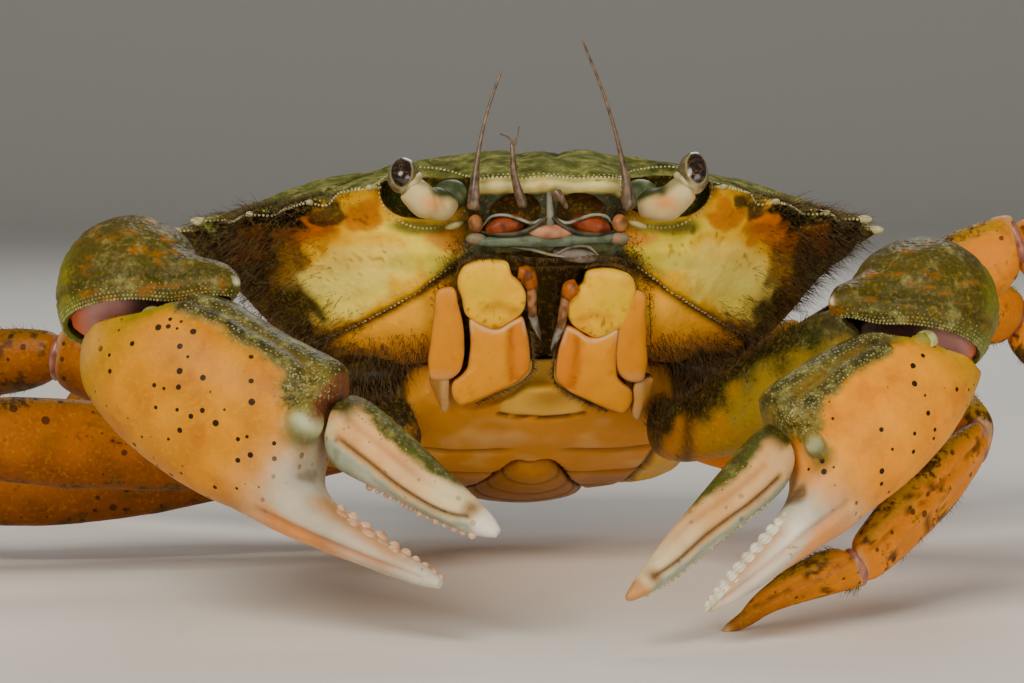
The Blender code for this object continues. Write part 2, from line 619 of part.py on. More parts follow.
def flat_cut(shape, place, normal):
    """Cuts away what lies beyond a plane and closes the cut."""
    everything = [*shape.verts, *shape.edges, *shape.faces]
    cut = bmesh.ops.bisect_plane(shape, geom=everything, plane_co=place, plane_no=normal, clear_outer=True)
    edges = [piece for piece in cut["geom_cut"] if isinstance(piece, bmesh.types.BMEdge)]
    bmesh.ops.contextual_create(shape, geom=edges)


def wrist_dome(claw, elbow, towards_hip):
    """The wrist piece: a dome with a spine on its inner corner."""
    shape = bmesh.new()
    bmesh.ops.create_uvsphere(shape, u_segments=BALL_SIDES, v_segments=BALL_ROWS, radius=1.0)
    bmesh.ops.scale(shape, vec=claw["dome_radii"], verts=shape.verts)
    bmesh.ops.translate(shape, vec=claw["dome"], verts=shape.verts)
    nearest = min(shape.verts, key=lambda vertex: (vertex.co - claw["spine"]).length)
    nearest.co = claw["spine"]
    flat_cut(shape, *claw["opening"])
    flat_cut(shape, elbow, towards_hip)
    return shape


def arm_setting(side, claw):
    """Where the arm leaves the thorax, its elbow and the direction from there to the hip."""
    socket = socket_point(side, CLAW_SOCKET_Y, CLAW_SOCKET_DEPTH)
    towards_hip = (claw["hip"] - claw["dome"]).normalized()
    return socket, claw["dome"] + towards_hip * claw["size"], towards_hip


def make_claw(side, label, claw):
    """A claw limb: arm, wrist, palm with its fixed finger, and the moving finger."""
    across = claw_frame(claw)[2]
    normal = claw["opening"][1].normalized()
    rise = across.cross(normal).normalized()
    rise *= math.copysign(1, rise.z)
    fore = normal.cross(rise)
    fore *= math.copysign(1, fore.dot(across))
    place = claw["opening"][0]
    neck = claw["neck"] - normal * (claw["neck"] - place).dot(normal)
    neck_ring = oval(neck + normal * GAP, rise * claw["size"] * 0.75, fore * claw["size"] * 0.6, PALM_SIDES)
    palm = [neck_ring, *(claw_ring(claw, rib, PALM_SIDES) for rib in claw["palm"])]
    add_object(f"claw_{label}_palm", skin_over(palm), SHELL_ORANGE)
    finger = [claw_ring(claw, rib, FINGER_SIDES) for rib in claw["finger"]]
    add_object(f"claw_{label}_finger", skin_over(finger), SHELL_PALE)

    socket, elbow, towards_hip = arm_setting(side, claw)
    add_object(f"claw_{label}_wrist", wrist_dome(claw, elbow, towards_hip), SHELL_GREEN)
    hint = Vector((0, 0, 1))
    end = elbow + towards_hip * GAP
    arm = limb_rings(claw["hip"], end, socket, None, hint, ARM, claw["size"], 0.8, ARM_SIDES)
    root = root_rings(socket, claw["hip"], hint, claw["size"], ROOT_FLATNESS, ARM_SIDES)
    add_object(f"claw_{label}_arm", skin_over(root + arm), SHELL_ORANGE)


def limb_beds():
    """The cutters of all the limbs' beds in the thorax."""
    beds = {}
    for label in LEGS:
        joints, size, _, hint = leg_setting(label)
        beds[f"bed_{label}"] = root_bed(joints[0], joints[1], hint, size, ROOT_FLATNESS)
    for side, label, claw in ((-1, "R", CRUSHER), (1, "L", CUTTER)):
        socket = socket_point(side, CLAW_SOCKET_Y, CLAW_SOCKET_DEPTH)
        beds[f"bed_claw_{label}"] = root_bed(
            socket, claw["hip"], Vector((0, 0, 1)), claw["size"], ROOT_FLATNESS
        )
    return beds


def main():
    for old in list(bpy.data.objects):
        bpy.data.objects.remove(old)
    make_carapace()
    make_thorax(limb_beds())
    add_object("abdomen", abdomen_shape(0.0), SHELL_YELLOW)
    for side, label, claw in ((-1, "R", CRUSHER), (1, "L", CUTTER)):
        make_mouthparts(side, label)
        make_eye(side, label)
        make_feelers(side, label)
        make_claw(side, label, claw)
    for label in LEGS:
        make_leg(label)


main()
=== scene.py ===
import math
import random

import bmesh
import bpy
import numpy as np
from mathutils import Matrix, Vector, noise
from mathutils.bvhtree import BVHTree


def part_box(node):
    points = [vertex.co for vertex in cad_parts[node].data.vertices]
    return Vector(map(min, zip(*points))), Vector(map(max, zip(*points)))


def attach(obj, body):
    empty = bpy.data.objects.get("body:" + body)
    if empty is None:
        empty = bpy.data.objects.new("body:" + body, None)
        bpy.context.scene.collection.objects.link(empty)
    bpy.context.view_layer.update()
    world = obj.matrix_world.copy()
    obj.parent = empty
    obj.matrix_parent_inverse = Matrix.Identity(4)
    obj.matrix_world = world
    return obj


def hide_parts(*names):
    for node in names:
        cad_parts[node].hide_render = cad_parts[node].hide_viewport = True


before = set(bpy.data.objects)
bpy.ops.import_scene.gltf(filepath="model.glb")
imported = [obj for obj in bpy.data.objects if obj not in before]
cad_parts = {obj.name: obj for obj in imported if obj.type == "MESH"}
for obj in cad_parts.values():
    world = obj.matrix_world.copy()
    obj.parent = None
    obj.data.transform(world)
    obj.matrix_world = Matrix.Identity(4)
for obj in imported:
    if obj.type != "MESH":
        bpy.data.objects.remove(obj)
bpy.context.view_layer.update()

# A still model of a shore crab. Lengths are in millimetres until a piece is finished.
# The body has its own directions: x to the crab's left, y from its brow to its rear, z up.

metre = 0.001
random.seed(11)


def inBox(node, x, y, z):
    # a place in a node's box, in shares of its sides
    low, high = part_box(node)
    size = high - low
    return Vector((low.x + size.x * x, low.y + size.y * y, low.z + size.z * z)) / metre


body = {
    "place": inBox("carapace", 0.499, 0.4044, 0.6668),
    "yaw": math.radians(5.2),
    "noseUp": math.radians(16.0),
}
bodyTurn = Matrix.Rotation(body["yaw"], 3, "Z") @ Matrix.Rotation(-body["noseUp"], 3, "X")


def onBody(x, y, z):
    return bodyTurn @ Vector((x, y, z)) + body["place"]


def inBody(point):
    return bodyTurn.transposed() @ (point - body["place"])


def bodyCoords(points):
    return (points - np.array(body["place"])) @ np.array(bodyTurn)


def fromBody(points):
    return points @ np.array(bodyTurn).T + np.array(body["place"])


mouth = {
    "top": Vector((0.0, -18.0, -8.0)), "foot": Vector((0.0, -10.1, -20.9)), "lean": 0.03,
    # outlines: x to the side, and the share of the way from the mouth's top to its foot
    "lower": ((7.2, 0.37), (6.2, 0.41), (4.7, 0.44), (3.1, 0.38), (2.3, 0.36), (1.8, 0.45), (1.4, 0.60),
              (1.5, 0.73), (2.4, 0.79), (4.6, 0.87), (6.9, 0.935), (8.2, 0.955), (8.85, 0.89), (8.75, 0.80),
              (8.1, 0.765), (7.5, 0.72), (7.25, 0.64), (7.2, 0.50)),
    "upper": ((8.6, 0.11), (8.1, 0.01), (6.9, -0.03), (5.0, -0.04), (3.8, -0.02), (3.4, 0.06), (2.4, 0.12),
              (1.95, 0.20), (2.3, 0.31), (3.6, 0.38), (4.9, 0.42), (6.3, 0.39), (7.7, 0.33), (8.15, 0.22)),
    "strip": ((9.8, 0.14), (8.5, 0.125), (7.95, 0.24), (7.55, 0.34), (7.32, 0.46), (7.35, 0.60), (7.7, 0.69),
              (8.9, 0.745), (10.1, 0.735), (10.4, 0.66), (10.3, 0.48), (10.1, 0.29)),
    "foot plate": ((9.2, 0.75), (10.9, 0.73), (10.9, 0.79), (10.0, 0.94), (9.4, 1.02), (9.1, 1.0),
                   (9.0, 0.88)),
    # how far each side's plates have moved outwards and down
    "shift": {
        "R": {"strip": (0.62, 0.04), "lower": (0.15, -0.005), "upper": (0.08, 0.015),
              "foot plate": (0.3, 0.0)},
        "L": {"strip": (-0.45, 0.0), "lower": (-0.3, 0.0), "upper": (0.0, 0.02), "foot plate": (-0.2, 0.0)},
    },
    # a plate's section from its buried edge to its middle: height and share of the outline
    "crown": ((-1.6, 0.95), (-0.3, 0.995), (0.30, 1.01), (0.58, 0.995), (0.78, 0.95), (0.92, 0.87),
              (1.02, 0.71), (1.10, 0.48), (1.13, 0.24)), "crownTop": 1.14,
    "colours": {"lower": "#EC9A00", "upper": "#FFC400", "strip": "#E49000", "foot plate": "#B89058"},
    "groove": ((3.3, 0.44), (3.3, 0.56), (3.2, 0.68), (2.9, 0.78)),
    "dent": ((3.0, 0.30), (4.6, 0.26), (6.0, 0.28)),
    "recess": ((0.0, 0.82), (1.7, 0.82), (2.6, 0.88), (4.8, 0.96), (7.0, 1.02), (9.0, 1.03), (11.2, 0.88),
               (11.3, 0.24), (8.9, -0.06), (0.0, -0.09)), "recessFloor": -1.7, "recessTop": 9.0,
    "rowScale": 15,  # millimetres down the mouth for a share of one, near enough to space hairs and rings
}


def mouthPoint(x, down, out):
    along = mouth["foot"] - mouth["top"]
    normal = Vector((0.0, along.z, -along.y)).normalized()
    place = mouth["top"] + along * down + normal * out
    return onBody(x, place.y, place.z)


def mouthCoords(points):
    local = bodyCoords(points) - np.array(mouth["top"])
    along = np.array(mouth["foot"] - mouth["top"])
    normal = np.array((0.0, along[2], -along[1])) / np.linalg.norm(along)
    return np.stack([local[:, 0], local @ along / (along @ along), local @ normal], axis=1)


def smoothThrough(points, steps, closed=False):
    # a smooth line through the points, with steps samples between each two
    p = np.array(points, float)
    ahead = np.roll(p, -1, axis=0) if closed else np.vstack([p[1:], p[-1]])
    behind = np.roll(p, 1, axis=0) if closed else np.vstack([p[0], p[:-1]])
    lead = np.maximum(np.linalg.norm(ahead - p, axis=1), 1e-6)[:, None]
    trail = np.maximum(np.linalg.norm(p - behind, axis=1), 1e-6)[:, None]
    slope = ((ahead - p) / lead * trail + (p - behind) / trail * lead) / (lead + trail)
    if not closed:
        slope[0] = (p[1] - p[0]) / lead[0]
        slope[-1] = (p[-1] - p[-2]) / trail[-1]
    found = []
    for k in range(len(p) if closed else len(p) - 1):
        j = (k + 1) % len(p)
        span = lead[k]
        for t in np.arange(steps) / steps:
            a, b = 2 * t**3 - 3 * t**2 + 1, t**3 - 2 * t**2 + t
            c, d = -2 * t**3 + 3 * t**2, t**3 - t**2
            found.append(a * p[k] + b * span * slope[k] + c * p[j] + d * span * slope[j])
    if not closed:
        found.append(p[-1])
    return np.array(found)


def evenly(points, spacing):
    # the same line with its samples a given distance apart
    steps = np.linalg.norm(np.diff(points, axis=0), axis=1)
    along = np.concatenate([[0], np.cumsum(steps)])
    wanted = np.linspace(0, along[-1], max(2, round(along[-1] / spacing) + 1))
    return np.stack([np.interp(wanted, along, points[:, k]) for k in range(points.shape[1])], axis=1)


def fromLine(points, line):
    # distance of each point from a line of points
    best = np.full(len(points), 1e9)
    line = np.array(line, float)
    for a, b in zip(line[:-1], line[1:]):
        ab = b - a
        t = np.clip((points - a) @ ab / max(ab @ ab, 1e-9), 0, 1)
        best = np.minimum(best, np.linalg.norm(points - a - t[:, None] * ab, axis=1))
    return best


def valley(distance, width):
    return np.exp(-((distance / width) ** 2))


def step(values, low, high):
    t = np.clip((values - low) / (high - low), 0, 1)
    return t * t * (3 - 2 * t)


def patch(points, centre, radii):
    away = (points - np.array(centre)) / np.array(radii)
    return np.clip(1.25 - np.sqrt((away**2).sum(axis=1)), 0, 1)


def foldedX(points):
    # both sides of the body laid on its left
    folded = points.copy()
    folded[:, 0] = np.abs(folded[:, 0])
    return folded


def heightOn(line, across):
    return np.interp(across, *np.array(line).T)


def roughly(points, size, seed=0.0):
    # smooth noise from -1 to 1 whose lumps are about size across
    shift = Vector((seed, -seed, seed * 0.7))
    return np.array([noise.noise(Vector(p) / size + shift) for p in points])


def readPoints(mesh):
    found = np.empty(len(mesh.vertices) * 3)
    mesh.vertices.foreach_get("co", found)
    return found.reshape(-1, 3)


def cadPoints(node):
    return readPoints(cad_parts[node].data) / metre


def writePoints(mesh, points):
    mesh.vertices.foreach_set("co", np.ascontiguousarray(points).ravel())
    mesh.update()


def pushOut(mesh, points, normals, move):
    writePoints(mesh, points + normals * move[:, None])


def readNormals(mesh):
    found = np.empty(len(mesh.vertices) * 3)
    mesh.vertex_normals.foreach_get("vector", found)
    return found.reshape(-1, 3)


def toMesh(name, shape):
    bmesh.ops.recalc_face_normals(shape, faces=shape.faces)
    mesh = bpy.data.meshes.new(name)
    shape.to_mesh(mesh)
    shape.free()
    return mesh


def applied(mesh, *modifiers):
    # the mesh after modifiers, each given as its kind and its settings
    holder = bpy.data.objects.new("holder", mesh)
    bpy.context.scene.collection.objects.link(holder)
    for kind, settings in modifiers:
        made = holder.modifiers.new(kind.lower(), kind)
        for key, value in settings.items():
            setattr(made, key, value)
    ready = holder.evaluated_get(bpy.context.evaluated_depsgraph_get())
    done = bpy.data.meshes.new_from_object(ready)
    bpy.data.objects.remove(holder)
    return done


def cadShape(node):
    shape = bmesh.new()
    shape.from_mesh(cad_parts[node].data)
    bmesh.ops.scale(shape, vec=(1 / metre,) * 3, verts=shape.verts)
    bmesh.ops.remove_doubles(shape, verts=shape.verts, dist=0.002)
    return shape


def finerCopy(node, levels, grow=0.0):
    # a CAD node's form, rounded by subdivision and grown a little to make up for what that takes off
    shape = cadShape(node)
    bmesh.ops.join_triangles(
        shape, faces=shape.faces,
        angle_face_threshold=math.radians(60), angle_shape_threshold=math.radians(70)
    )
    shape.normal_update()
    moves = [vertex.normal * grow for vertex in shape.verts]
    for vertex, move in zip(shape.verts, moves):
        vertex.co += move
    mesh = toMesh(node, shape)
    return applied(mesh, ("SUBSURF", {"levels": levels, "render_levels": levels}))


def loft(rings, poles=(None, None)):
    # a closed skin over rings of points, each end a flat cap or a fan to its pole
    around = len(rings[0])
    shape = bmesh.new()
    grid = bmesh.ops.create_grid(shape, x_segments=around, y_segments=len(rings) - 1, size=1.0)
    vertices = list(grid["verts"])
    for row, ring in enumerate(rings):
        for column in range(around + 1):
            vertices[row * (around + 1) + column].co = Vector(ring[column % around])
    ends = [vertices[:around], vertices[-around - 1 : -1]]
    seam = {vertices[r * (around + 1) + around]: vertices[r * (around + 1)] for r in range(len(rings))}
    bmesh.ops.weld_verts(shape, targetmap=seam)
    for end, pole in zip(ends, poles):
        cap = bmesh.ops.contextual_create(shape, geom=end)["faces"]
        if pole is not None:
            bmesh.ops.poke(shape, faces=cap)["verts"][0].co = Vector(pole)
    return shape


def frameAlong(along, hint):
    along = Vector(along).normalized()
    up = (Vector(hint) - along * along.dot(Vector(hint))).normalized()
    return along, up, along.cross(up)


def tube(points, radii, sides=10, flat=1.0, hint=(0.1, 0.2, 1.0)):
    points = [Vector(p) for p in points]
    rings = []
    for k, point in enumerate(points):
        along = points[min(k + 1, len(points) - 1)] - points[max(k - 1, 0)]
        _, up, side = frameAlong(along, hint)
        turns = [2 * math.pi * j / sides for j in range(sides)]
        upward, sideways = up * radii[k], side * radii[k] * flat
        rings.append([point + upward * math.cos(t) + sideways * math.sin(t) for t in turns])
    return loft(rings)


def addBall(shape, centre, radii, axis):
    # a small ellipsoid, turned so that its z lies along the axis
    turn = Vector(axis).to_track_quat("Z", "Y").to_matrix().to_4x4()
    place = Matrix.Translation(Vector(centre)) @ turn @ Matrix.Diagonal((*radii, 1.0))
    bmesh.ops.create_uvsphere(shape, u_segments=20, v_segments=12, radius=1.0, matrix=place)


def copies(template, count):
    return applied(template, ("ARRAY", {"count": count, "relative_offset_displace": (2, 0, 0)}))


def scattered(template, centres, axes, sizes):
    # copies of a small mesh, each with its z along its axis and its own size on each side
    local = readPoints(template)
    mesh = copies(template, len(centres))
    axes = np.asarray(axes) / np.linalg.norm(axes, axis=1)[:, None]
    other = np.where(np.abs(axes[:, 2:]) < 0.9, (0, 0, 1.0), (1.0, 0, 0))
    across = np.cross(other, axes)
    across /= np.linalg.norm(across, axis=1)[:, None]
    turns = np.stack([across, np.cross(axes, across), axes], axis=1)
    grown = local[None] * np.asarray(sizes)[:, None]
    points = np.einsum("nki,nij->nkj", grown, turns) + np.asarray(centres)[:, None]
    writePoints(mesh, points.reshape(-1, 3))
    return mesh


def granuleTemplate():
    shape = bmesh.new()
    bmesh.ops.create_uvsphere(shape, u_segments=7, v_segments=5, radius=1.0)
    return toMesh("granule", shape)


def granules(beads, flat=0.85):
    # beads are a centre, an axis and a radius each
    centres, axes, radii = (np.array([np.atleast_1d(bead[k]) for bead in beads], float) for k in range(3))
    return scattered(granuleTemplate(), centres, axes, np.hstack([radii, radii, radii * flat]))


def bristleTemplate():
    shape = bmesh.new()
    bmesh.ops.create_cone(shape, cap_ends=True, segments=3, radius1=1.0, radius2=0.12, depth=1.0)
    bmesh.ops.translate(shape, vec=(0, 0, 0.5), verts=shape.verts)
    lengthwise = [edge for edge in shape.edges if abs(edge.verts[0].co.z - edge.verts[1].co.z) > 0.5]
    bmesh.ops.subdivide_edges(shape, edges=lengthwise, cuts=2)
    return toMesh("bristle", shape)


def bristles(roots, lies, falls, lengths, widths, unwrapped):
    # thin tapering hairs that lean along their lie and bend towards their fall
    template = bristleTemplate()
    local = readPoints(template)
    each = len(local)
    mesh = copies(template, len(roots))
    lies = lies / np.linalg.norm(lies, axis=1)[:, None]
    across = np.cross(lies, falls + 1e-3)
    across /= np.linalg.norm(across, axis=1)[:, None]
    over = np.cross(across, lies)
    t = local[None, :, 2:3]
    reach = np.asarray(lengths)[:, None, None]
    wide = np.asarray(widths)[:, None, None]
    points = roots[:, None] + (lies[:, None] * t + falls[:, None] * t**2 * 0.6) * reach
    points = points + (across[:, None] * local[None, :, 0:1] + over[:, None] * local[None, :, 1:2]) * wide
    writePoints(mesh, points.reshape(-1, 3))
    places = mesh.uv_layers.new(name="OFBake")  # each hair is a small patch at its root's place on the skin
    corners = np.empty(len(mesh.loops), int)
    mesh.loops.foreach_get("vertex_index", corners)
    spots = unwrapped[corners // each] + 0.0015 * local[corners % each][:, [0, 2]]
    places.data.foreach_set("uv", np.clip(spots, 0, 1).ravel())
    return mesh


def sampled(mesh, weights, count):
    # places spread at random over a mesh, more of them where its points weigh more
    mesh.calc_loop_triangles()
    corners = np.empty(len(mesh.loop_triangles) * 3, int)
    mesh.loop_triangles.foreach_get("vertices", corners)
    corners = corners.reshape(-1, 3)
    points, normals = readPoints(mesh), readNormals(mesh)
    a, b, c = (points[corners[:, k]] for k in range(3))
    share = np.linalg.norm(np.cross(b - a, c - a), axis=1) * weights[corners].mean(axis=1)
    dice = np.random.default_rng(count)
    chosen = dice.choice(len(corners), count, p=share / share.sum())
    u, v = dice.random((2, count, 1))
    flip = (u + v) > 1
    u, v = np.where(flip, 1 - u, u), np.where(flip, 1 - v, v)
    spots = a[chosen] + u * (b - a)[chosen] + v * (c - a)[chosen]
    return spots, normals[corners[chosen]].mean(axis=1), dice


def surfaceOf(*meshes):
    # a surface to find the nearest point on, or to hit with a ray
    shape = bmesh.new()
    for mesh in meshes:
        shape.from_mesh(mesh)
    found = BVHTree.FromBMesh(shape)
    shape.free()
    return found


def linear(code):
    # an sRGB hex colour as linear values
    parts = [int(code[k : k + 2], 16) / 255 for k in (1, 3, 5)]
    return [part / 12.92 if part <= 0.04045 else ((part + 0.055) / 1.055) ** 2.4 for part in parts]


def lay(tint, code, weight):
    tint += (np.array(linear(code)) - tint) * np.clip(weight, 0, 1)[:, None]


def plain(count, code):
    return np.tile(np.array(linear(code)), (count, 1))


def addPiece(name, mesh, finish, slot, nodes=(), tint=None, **amounts):
    # tint is a colour for each point; the amounts that go with it are 0 to 1, one for all or one a point
    writePoints(mesh, readPoints(mesh) * metre)
    if tint is not None:
        colour = mesh.attributes.new("tint", "FLOAT_COLOR", "POINT")
        colour.data.foreach_set("color", np.hstack([tint, np.ones((len(tint), 1))]).ravel())
        for key in ("moss", "grain", "pits"):
            values = np.broadcast_to(amounts.get(key, 0.0), len(tint))
            amount = mesh.attributes.new(key, "FLOAT", "POINT")
            amount.data.foreach_set("value", np.clip(values, 0.0, 1.0))
    mesh.materials.clear()
    mesh.materials.append(finish)
    mesh.shade_smooth()
    piece = bpy.data.objects.new(name, mesh)
    bpy.context.scene.collection.objects.link(piece)
    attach(piece, "root")
    if nodes:
        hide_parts(*nodes)
    return piece


def addNode(tree, kind, settings, links=None):
    made = tree.nodes.new(kind)
    for key, value in settings.items():
        if isinstance(key, str) and hasattr(made, key):
            setattr(made, key, value)
        else:
            made.inputs[key].default_value = value
    for key, source in (links or {}).items():
        tree.links.new(source, made.inputs[key])
    return made


def perMm(size):
    # a texture scale whose cells are size millimetres across in metres of Object coordinates
    return 1 / (size * metre)


def mixed(tree, kind, factor, first, second):
    made = addNode(tree, "ShaderNodeMix", {"data_type": "RGBA", "blend_type": kind, "clamp_result": True})
    for key, value in ((0, factor), (6, first), (7, second)):
        if isinstance(value, (float, tuple)):
            made.inputs[key].default_value = value
        else:
            tree.links.new(value, made.inputs[key])
    return made.outputs[2]


def opaque(code):
    return (*linear(code), 1.0)


def newFinish(name):
    # a material, its node tree, its shader and the place of each point in metres
    finish = bpy.data.materials.new(name)
    finish.use_nodes = True
    tree = finish.node_tree
    place = addNode(tree, "ShaderNodeTexCoord", {}).outputs["Object"]
    return finish, tree, tree.nodes["Principled BSDF"], place


# Crab shell: chitin stiffened with lime, finely pitted and granular, with a damp satin gloss.
# Its colours are the piece's own tint, broken up by olive mottling, pale and dark specks and small pits.
def shellFinish(name, values):
    finish, tree, shader, place = newFinish(name)
    painted = {key: addNode(tree, "ShaderNodeAttribute", {"attribute_name": key}).outputs
               for key in ("tint", "moss", "grain", "pits")}

    cloudValues = {"Scale": perMm(values["cloudMm"]), "Detail": 5.0, "Roughness": 0.6}
    cloudy = addNode(tree, "ShaderNodeTexNoise", cloudValues, {"Vector": place}).outputs["Fac"]
    fineValues = {"Scale": perMm(values["speckMm"]), "Detail": 3.0, "Roughness": 0.7}
    fine = addNode(tree, "ShaderNodeTexNoise", fineValues, {"Vector": place}).outputs["Fac"]
    shadeValues = {1: 0.3, 2: 0.7, 3: values["darkest"], 4: values["lightest"]}
    shade = addNode(tree, "ShaderNodeMapRange", shadeValues, {0: cloudy}).outputs[0]
    shadeColour = addNode(tree, "ShaderNodeCombineColor", {}, {0: shade, 1: shade, 2: shade}).outputs[0]
    colour = mixed(tree, "MULTIPLY", 1.0, painted["tint"]["Color"], shadeColour)
    speckleValues = {1: 0.52, 2: 0.68, 3: 0.0, 4: values["speckle"]}
    speckle = addNode(tree, "ShaderNodeMapRange", speckleValues, {0: fine}).outputs[0]
    colour = mixed(tree, "MIX", speckle, colour, opaque(values["speckColour"]))

    # olive mottling, ragged at its edges
    ragged = painted["moss"]["Fac"]
    for spread, source in ((1.5, cloudy), (1.1, fine)):
        centred = {"operation": "MULTIPLY_ADD", 1: spread, 2: -spread / 2}
        swing = addNode(tree, "ShaderNodeMath", centred, {0: source}).outputs[0]
        ragged = addNode(tree, "ShaderNodeMath", {"operation": "ADD"}, {0: ragged, 1: swing}).outputs[0]
    mossy = addNode(tree, "ShaderNodeMapRange", {1: 0.38, 2: 0.62}, {0: ragged}).outputs[0]
    mossValues = {"Scale": perMm(values["mossMm"]), "Detail": 6.0, "Roughness": 0.65}
    patchy = addNode(tree, "ShaderNodeTexNoise", mossValues, {"Vector": place}).outputs["Fac"]
    greens = addNode(tree, "ShaderNodeValToRGB", {}, {"Fac": patchy})
    ramp = greens.color_ramp
    ramp.elements[0].position, ramp.elements[1].position = 0.3, 0.72
    ramp.elements[0].color, ramp.elements[1].color = opaque(values["mossDark"]), opaque(values["mossLight"])
    ramp.elements.new(0.5).color = opaque(values["mossMid"])
    colour = mixed(tree, "MIX", mossy, colour, greens.outputs["Color"])

    # scattered round pits, dark in the middle
    cellValues = {"Scale": perMm(values["pitEveryMm"]), "Randomness": 1.0}
    cells = addNode(tree, "ShaderNodeTexVoronoi", cellValues, {"Vector": place}).outputs
    chosen = addNode(tree, "ShaderNodeSeparateColor", {}, {0: cells["Color"]}).outputs[0]
    radiusValues = {1: values["pitRare"], 2: 1.0, 3: 0.0, 4: values["pitSize"]}
    radius = addNode(tree, "ShaderNodeMapRange", radiusValues, {0: chosen}).outputs[0]
    reach = {0: radius, 1: cells["Distance"]}
    inside = addNode(tree, "ShaderNodeMath", {"operation": "SUBTRACT"}, reach).outputs[0]
    pit = addNode(tree, "ShaderNodeMapRange", {1: 0.0, 2: 0.03}, {0: inside}).outputs[0]
    allowed = {0: pit, 1: painted["pits"]["Fac"]}
    pit = addNode(tree, "ShaderNodeMath", {"operation": "MULTIPLY"}, allowed).outputs[0]
    colour = mixed(tree, "MIX", pit, colour, opaque("#2A1A0C"))
    tree.links.new(colour, shader.inputs["Base Color"])

    glossValues = {1: 0.3, 2: 0.7, 3: values["smoothest"], 4: values["roughest"]}
    gloss = addNode(tree, "ShaderNodeMapRange", glossValues, {0: fine}).outputs[0]
    tree.links.new(gloss, shader.inputs["Roughness"])
    shader.inputs["Specular IOR Level"].default_value = values["shine"]
    shader.inputs["Subsurface Weight"].default_value = values["glow"]
    shader.inputs["Subsurface Radius"].default_value = (0.0012, 0.0006, 0.0003)
    shader.inputs["Coat Weight"].default_value = values["wet"]
    shader.inputs["Coat Roughness"].default_value = 0.18

    granuleValues = {"Scale": perMm(values["granuleMm"]), "Randomness": 0.9}
    away = addNode(tree, "ShaderNodeTexVoronoi", granuleValues, {"Vector": place}).outputs["Distance"]
    domes = addNode(tree, "ShaderNodeMapRange", {1: 0.0, 2: 0.6, 3: 1.0, 4: 0.0}, {0: away}).outputs[0]
    raised = {0: domes, 1: painted["grain"]["Fac"]}
    domes = addNode(tree, "ShaderNodeMath", {"operation": "MULTIPLY"}, raised).outputs[0]
    bumps = (  # strength, height in mm, and whether it goes in
        (0.9, values["granuleHigh"], domes, False),
        (0.5, values["fineHigh"], fine, False),
        (0.6, 0.12, pit, True),
    )
    below = {}
    for strength, high, source, invert in bumps:
        bumpValues = {"Strength": strength, "Distance": high * metre, "invert": invert}
        height = addNode(tree, "ShaderNodeBump", bumpValues, {"Height": source, **below}).outputs[0]
        below = {"Normal": height}
    tree.links.new(height, shader.inputs["Normal"])
    return finish


# Sizes with Mm are in millimetres, heights too; "wet" is a film of water, "glow" the light that soaks in.
shellValues = {
    "cloudMm": 3.2, "speckMm": 0.45, "mossMm": 1.6, "granuleMm": 0.55, "granuleHigh": 0.10, "fineHigh": 0.04,
    "darkest": 0.82, "lightest": 1.10, "speckle": 0.16, "speckColour": "#FFC400",
    "mossDark": "#221E0E", "mossMid": "#50481C", "mossLight": "#94904A",
    "pitEveryMm": 1.3, "pitRare": 0.3, "pitSize": 0.26, "smoothest": 0.36, "roughest": 0.52, "glow": 0.04,
    "wet": 0.0, "shine": 0.16,
}
# rough chitin under a thin green growth: dull and granular, with no shine of its own
backShell = shellFinish("GranularBackShell", {
    **shellValues, "mossDark": "#2A2E10", "mossMid": "#686C2C", "mossLight": "#A8A460", "mossMm": 1.8,
    "granuleMm": 0.7, "granuleHigh": 0.16, "roughest": 0.85, "smoothest": 0.7, "shine": 0.05,
})
# thick smooth chitin: a soft sheen, dark pits, and granules only where it turns green
clawValues = {**shellValues, "pitEveryMm": 1.05, "pitRare": 0.15, "pitSize": 0.3}
clawShell = shellFinish("SmoothClawShell", clawValues)
# thin orange chitin with brown blotches and wider spaced pits
legShell = shellFinish("MottledLegShell", {
    **shellValues, "mossDark": "#1E0F04", "mossMid": "#4A2C0A", "mossLight": "#6C5A16", "mossMm": 1.2,
    "pitEveryMm": 1.5, "pitSize": 0.3,
})
# the smooth thin shell of the mouth plates and the underside: even colour and a waxy glow
plateShell = shellFinish("WaxyMouthShell", {
    **shellValues, "darkest": 0.92, "lightest": 1.05, "speckle": 0.05, "granuleHigh": 0.03, "fineHigh": 0.015,
    "smoothest": 0.34, "roughest": 0.44, "glow": 0.06, "shine": 0.2,
})
# the clear cornea over the eye: nearly smooth, with a film of water that gives small bright glints
eyeShell = shellFinish("WetEyeSurface", {
    **shellValues, "speckle": 0.12, "smoothest": 0.08, "roughest": 0.16, "wet": 0.8, "granuleHigh": 0.0,
    "fineHigh": 0.01,
})


# Small and soft pieces: two tones that run into each other in lumps, with one gloss.
def softFinish(name, dark, light, lumpMm, high, rough, wet):
    finish, tree, shader, place = newFinish(name)
    lumpValues = {"Scale": perMm(lumpMm), "Detail": 4.0}
    lumps = addNode(tree, "ShaderNodeTexNoise", lumpValues, {"Vector": place}).outputs["Fac"]
    tones = addNode(tree, "ShaderNodeValToRGB", {}, {"Fac": lumps})
    for element, position, code in zip(tones.color_ramp.elements, (0.32, 0.68), (dark, light)):
        element.position, element.color = position, opaque(code)
    tree.links.new(tones.outputs["Color"], shader.inputs["Base Color"])
    height = addNode(tree, "ShaderNodeBump", {"Strength": 0.5, "Distance": high * metre}, {"Height": lumps})
    tree.links.new(height.outputs[0], shader.inputs["Normal"])
    shader.inputs["Roughness"].default_value = rough
    shader.inputs["Coat Weight"].default_value = wet
    shader.inputs["Coat Roughness"].default_value = 0.12
    return finish


# thin bare skin between two limb pieces: reddish, finely wrinkled and wet
jointSkin = softFinish("WetJointSkin", "#6B3226", "#B97A62", lumpMm=1.4, high=0.08, rough=0.35, wet=0.25)
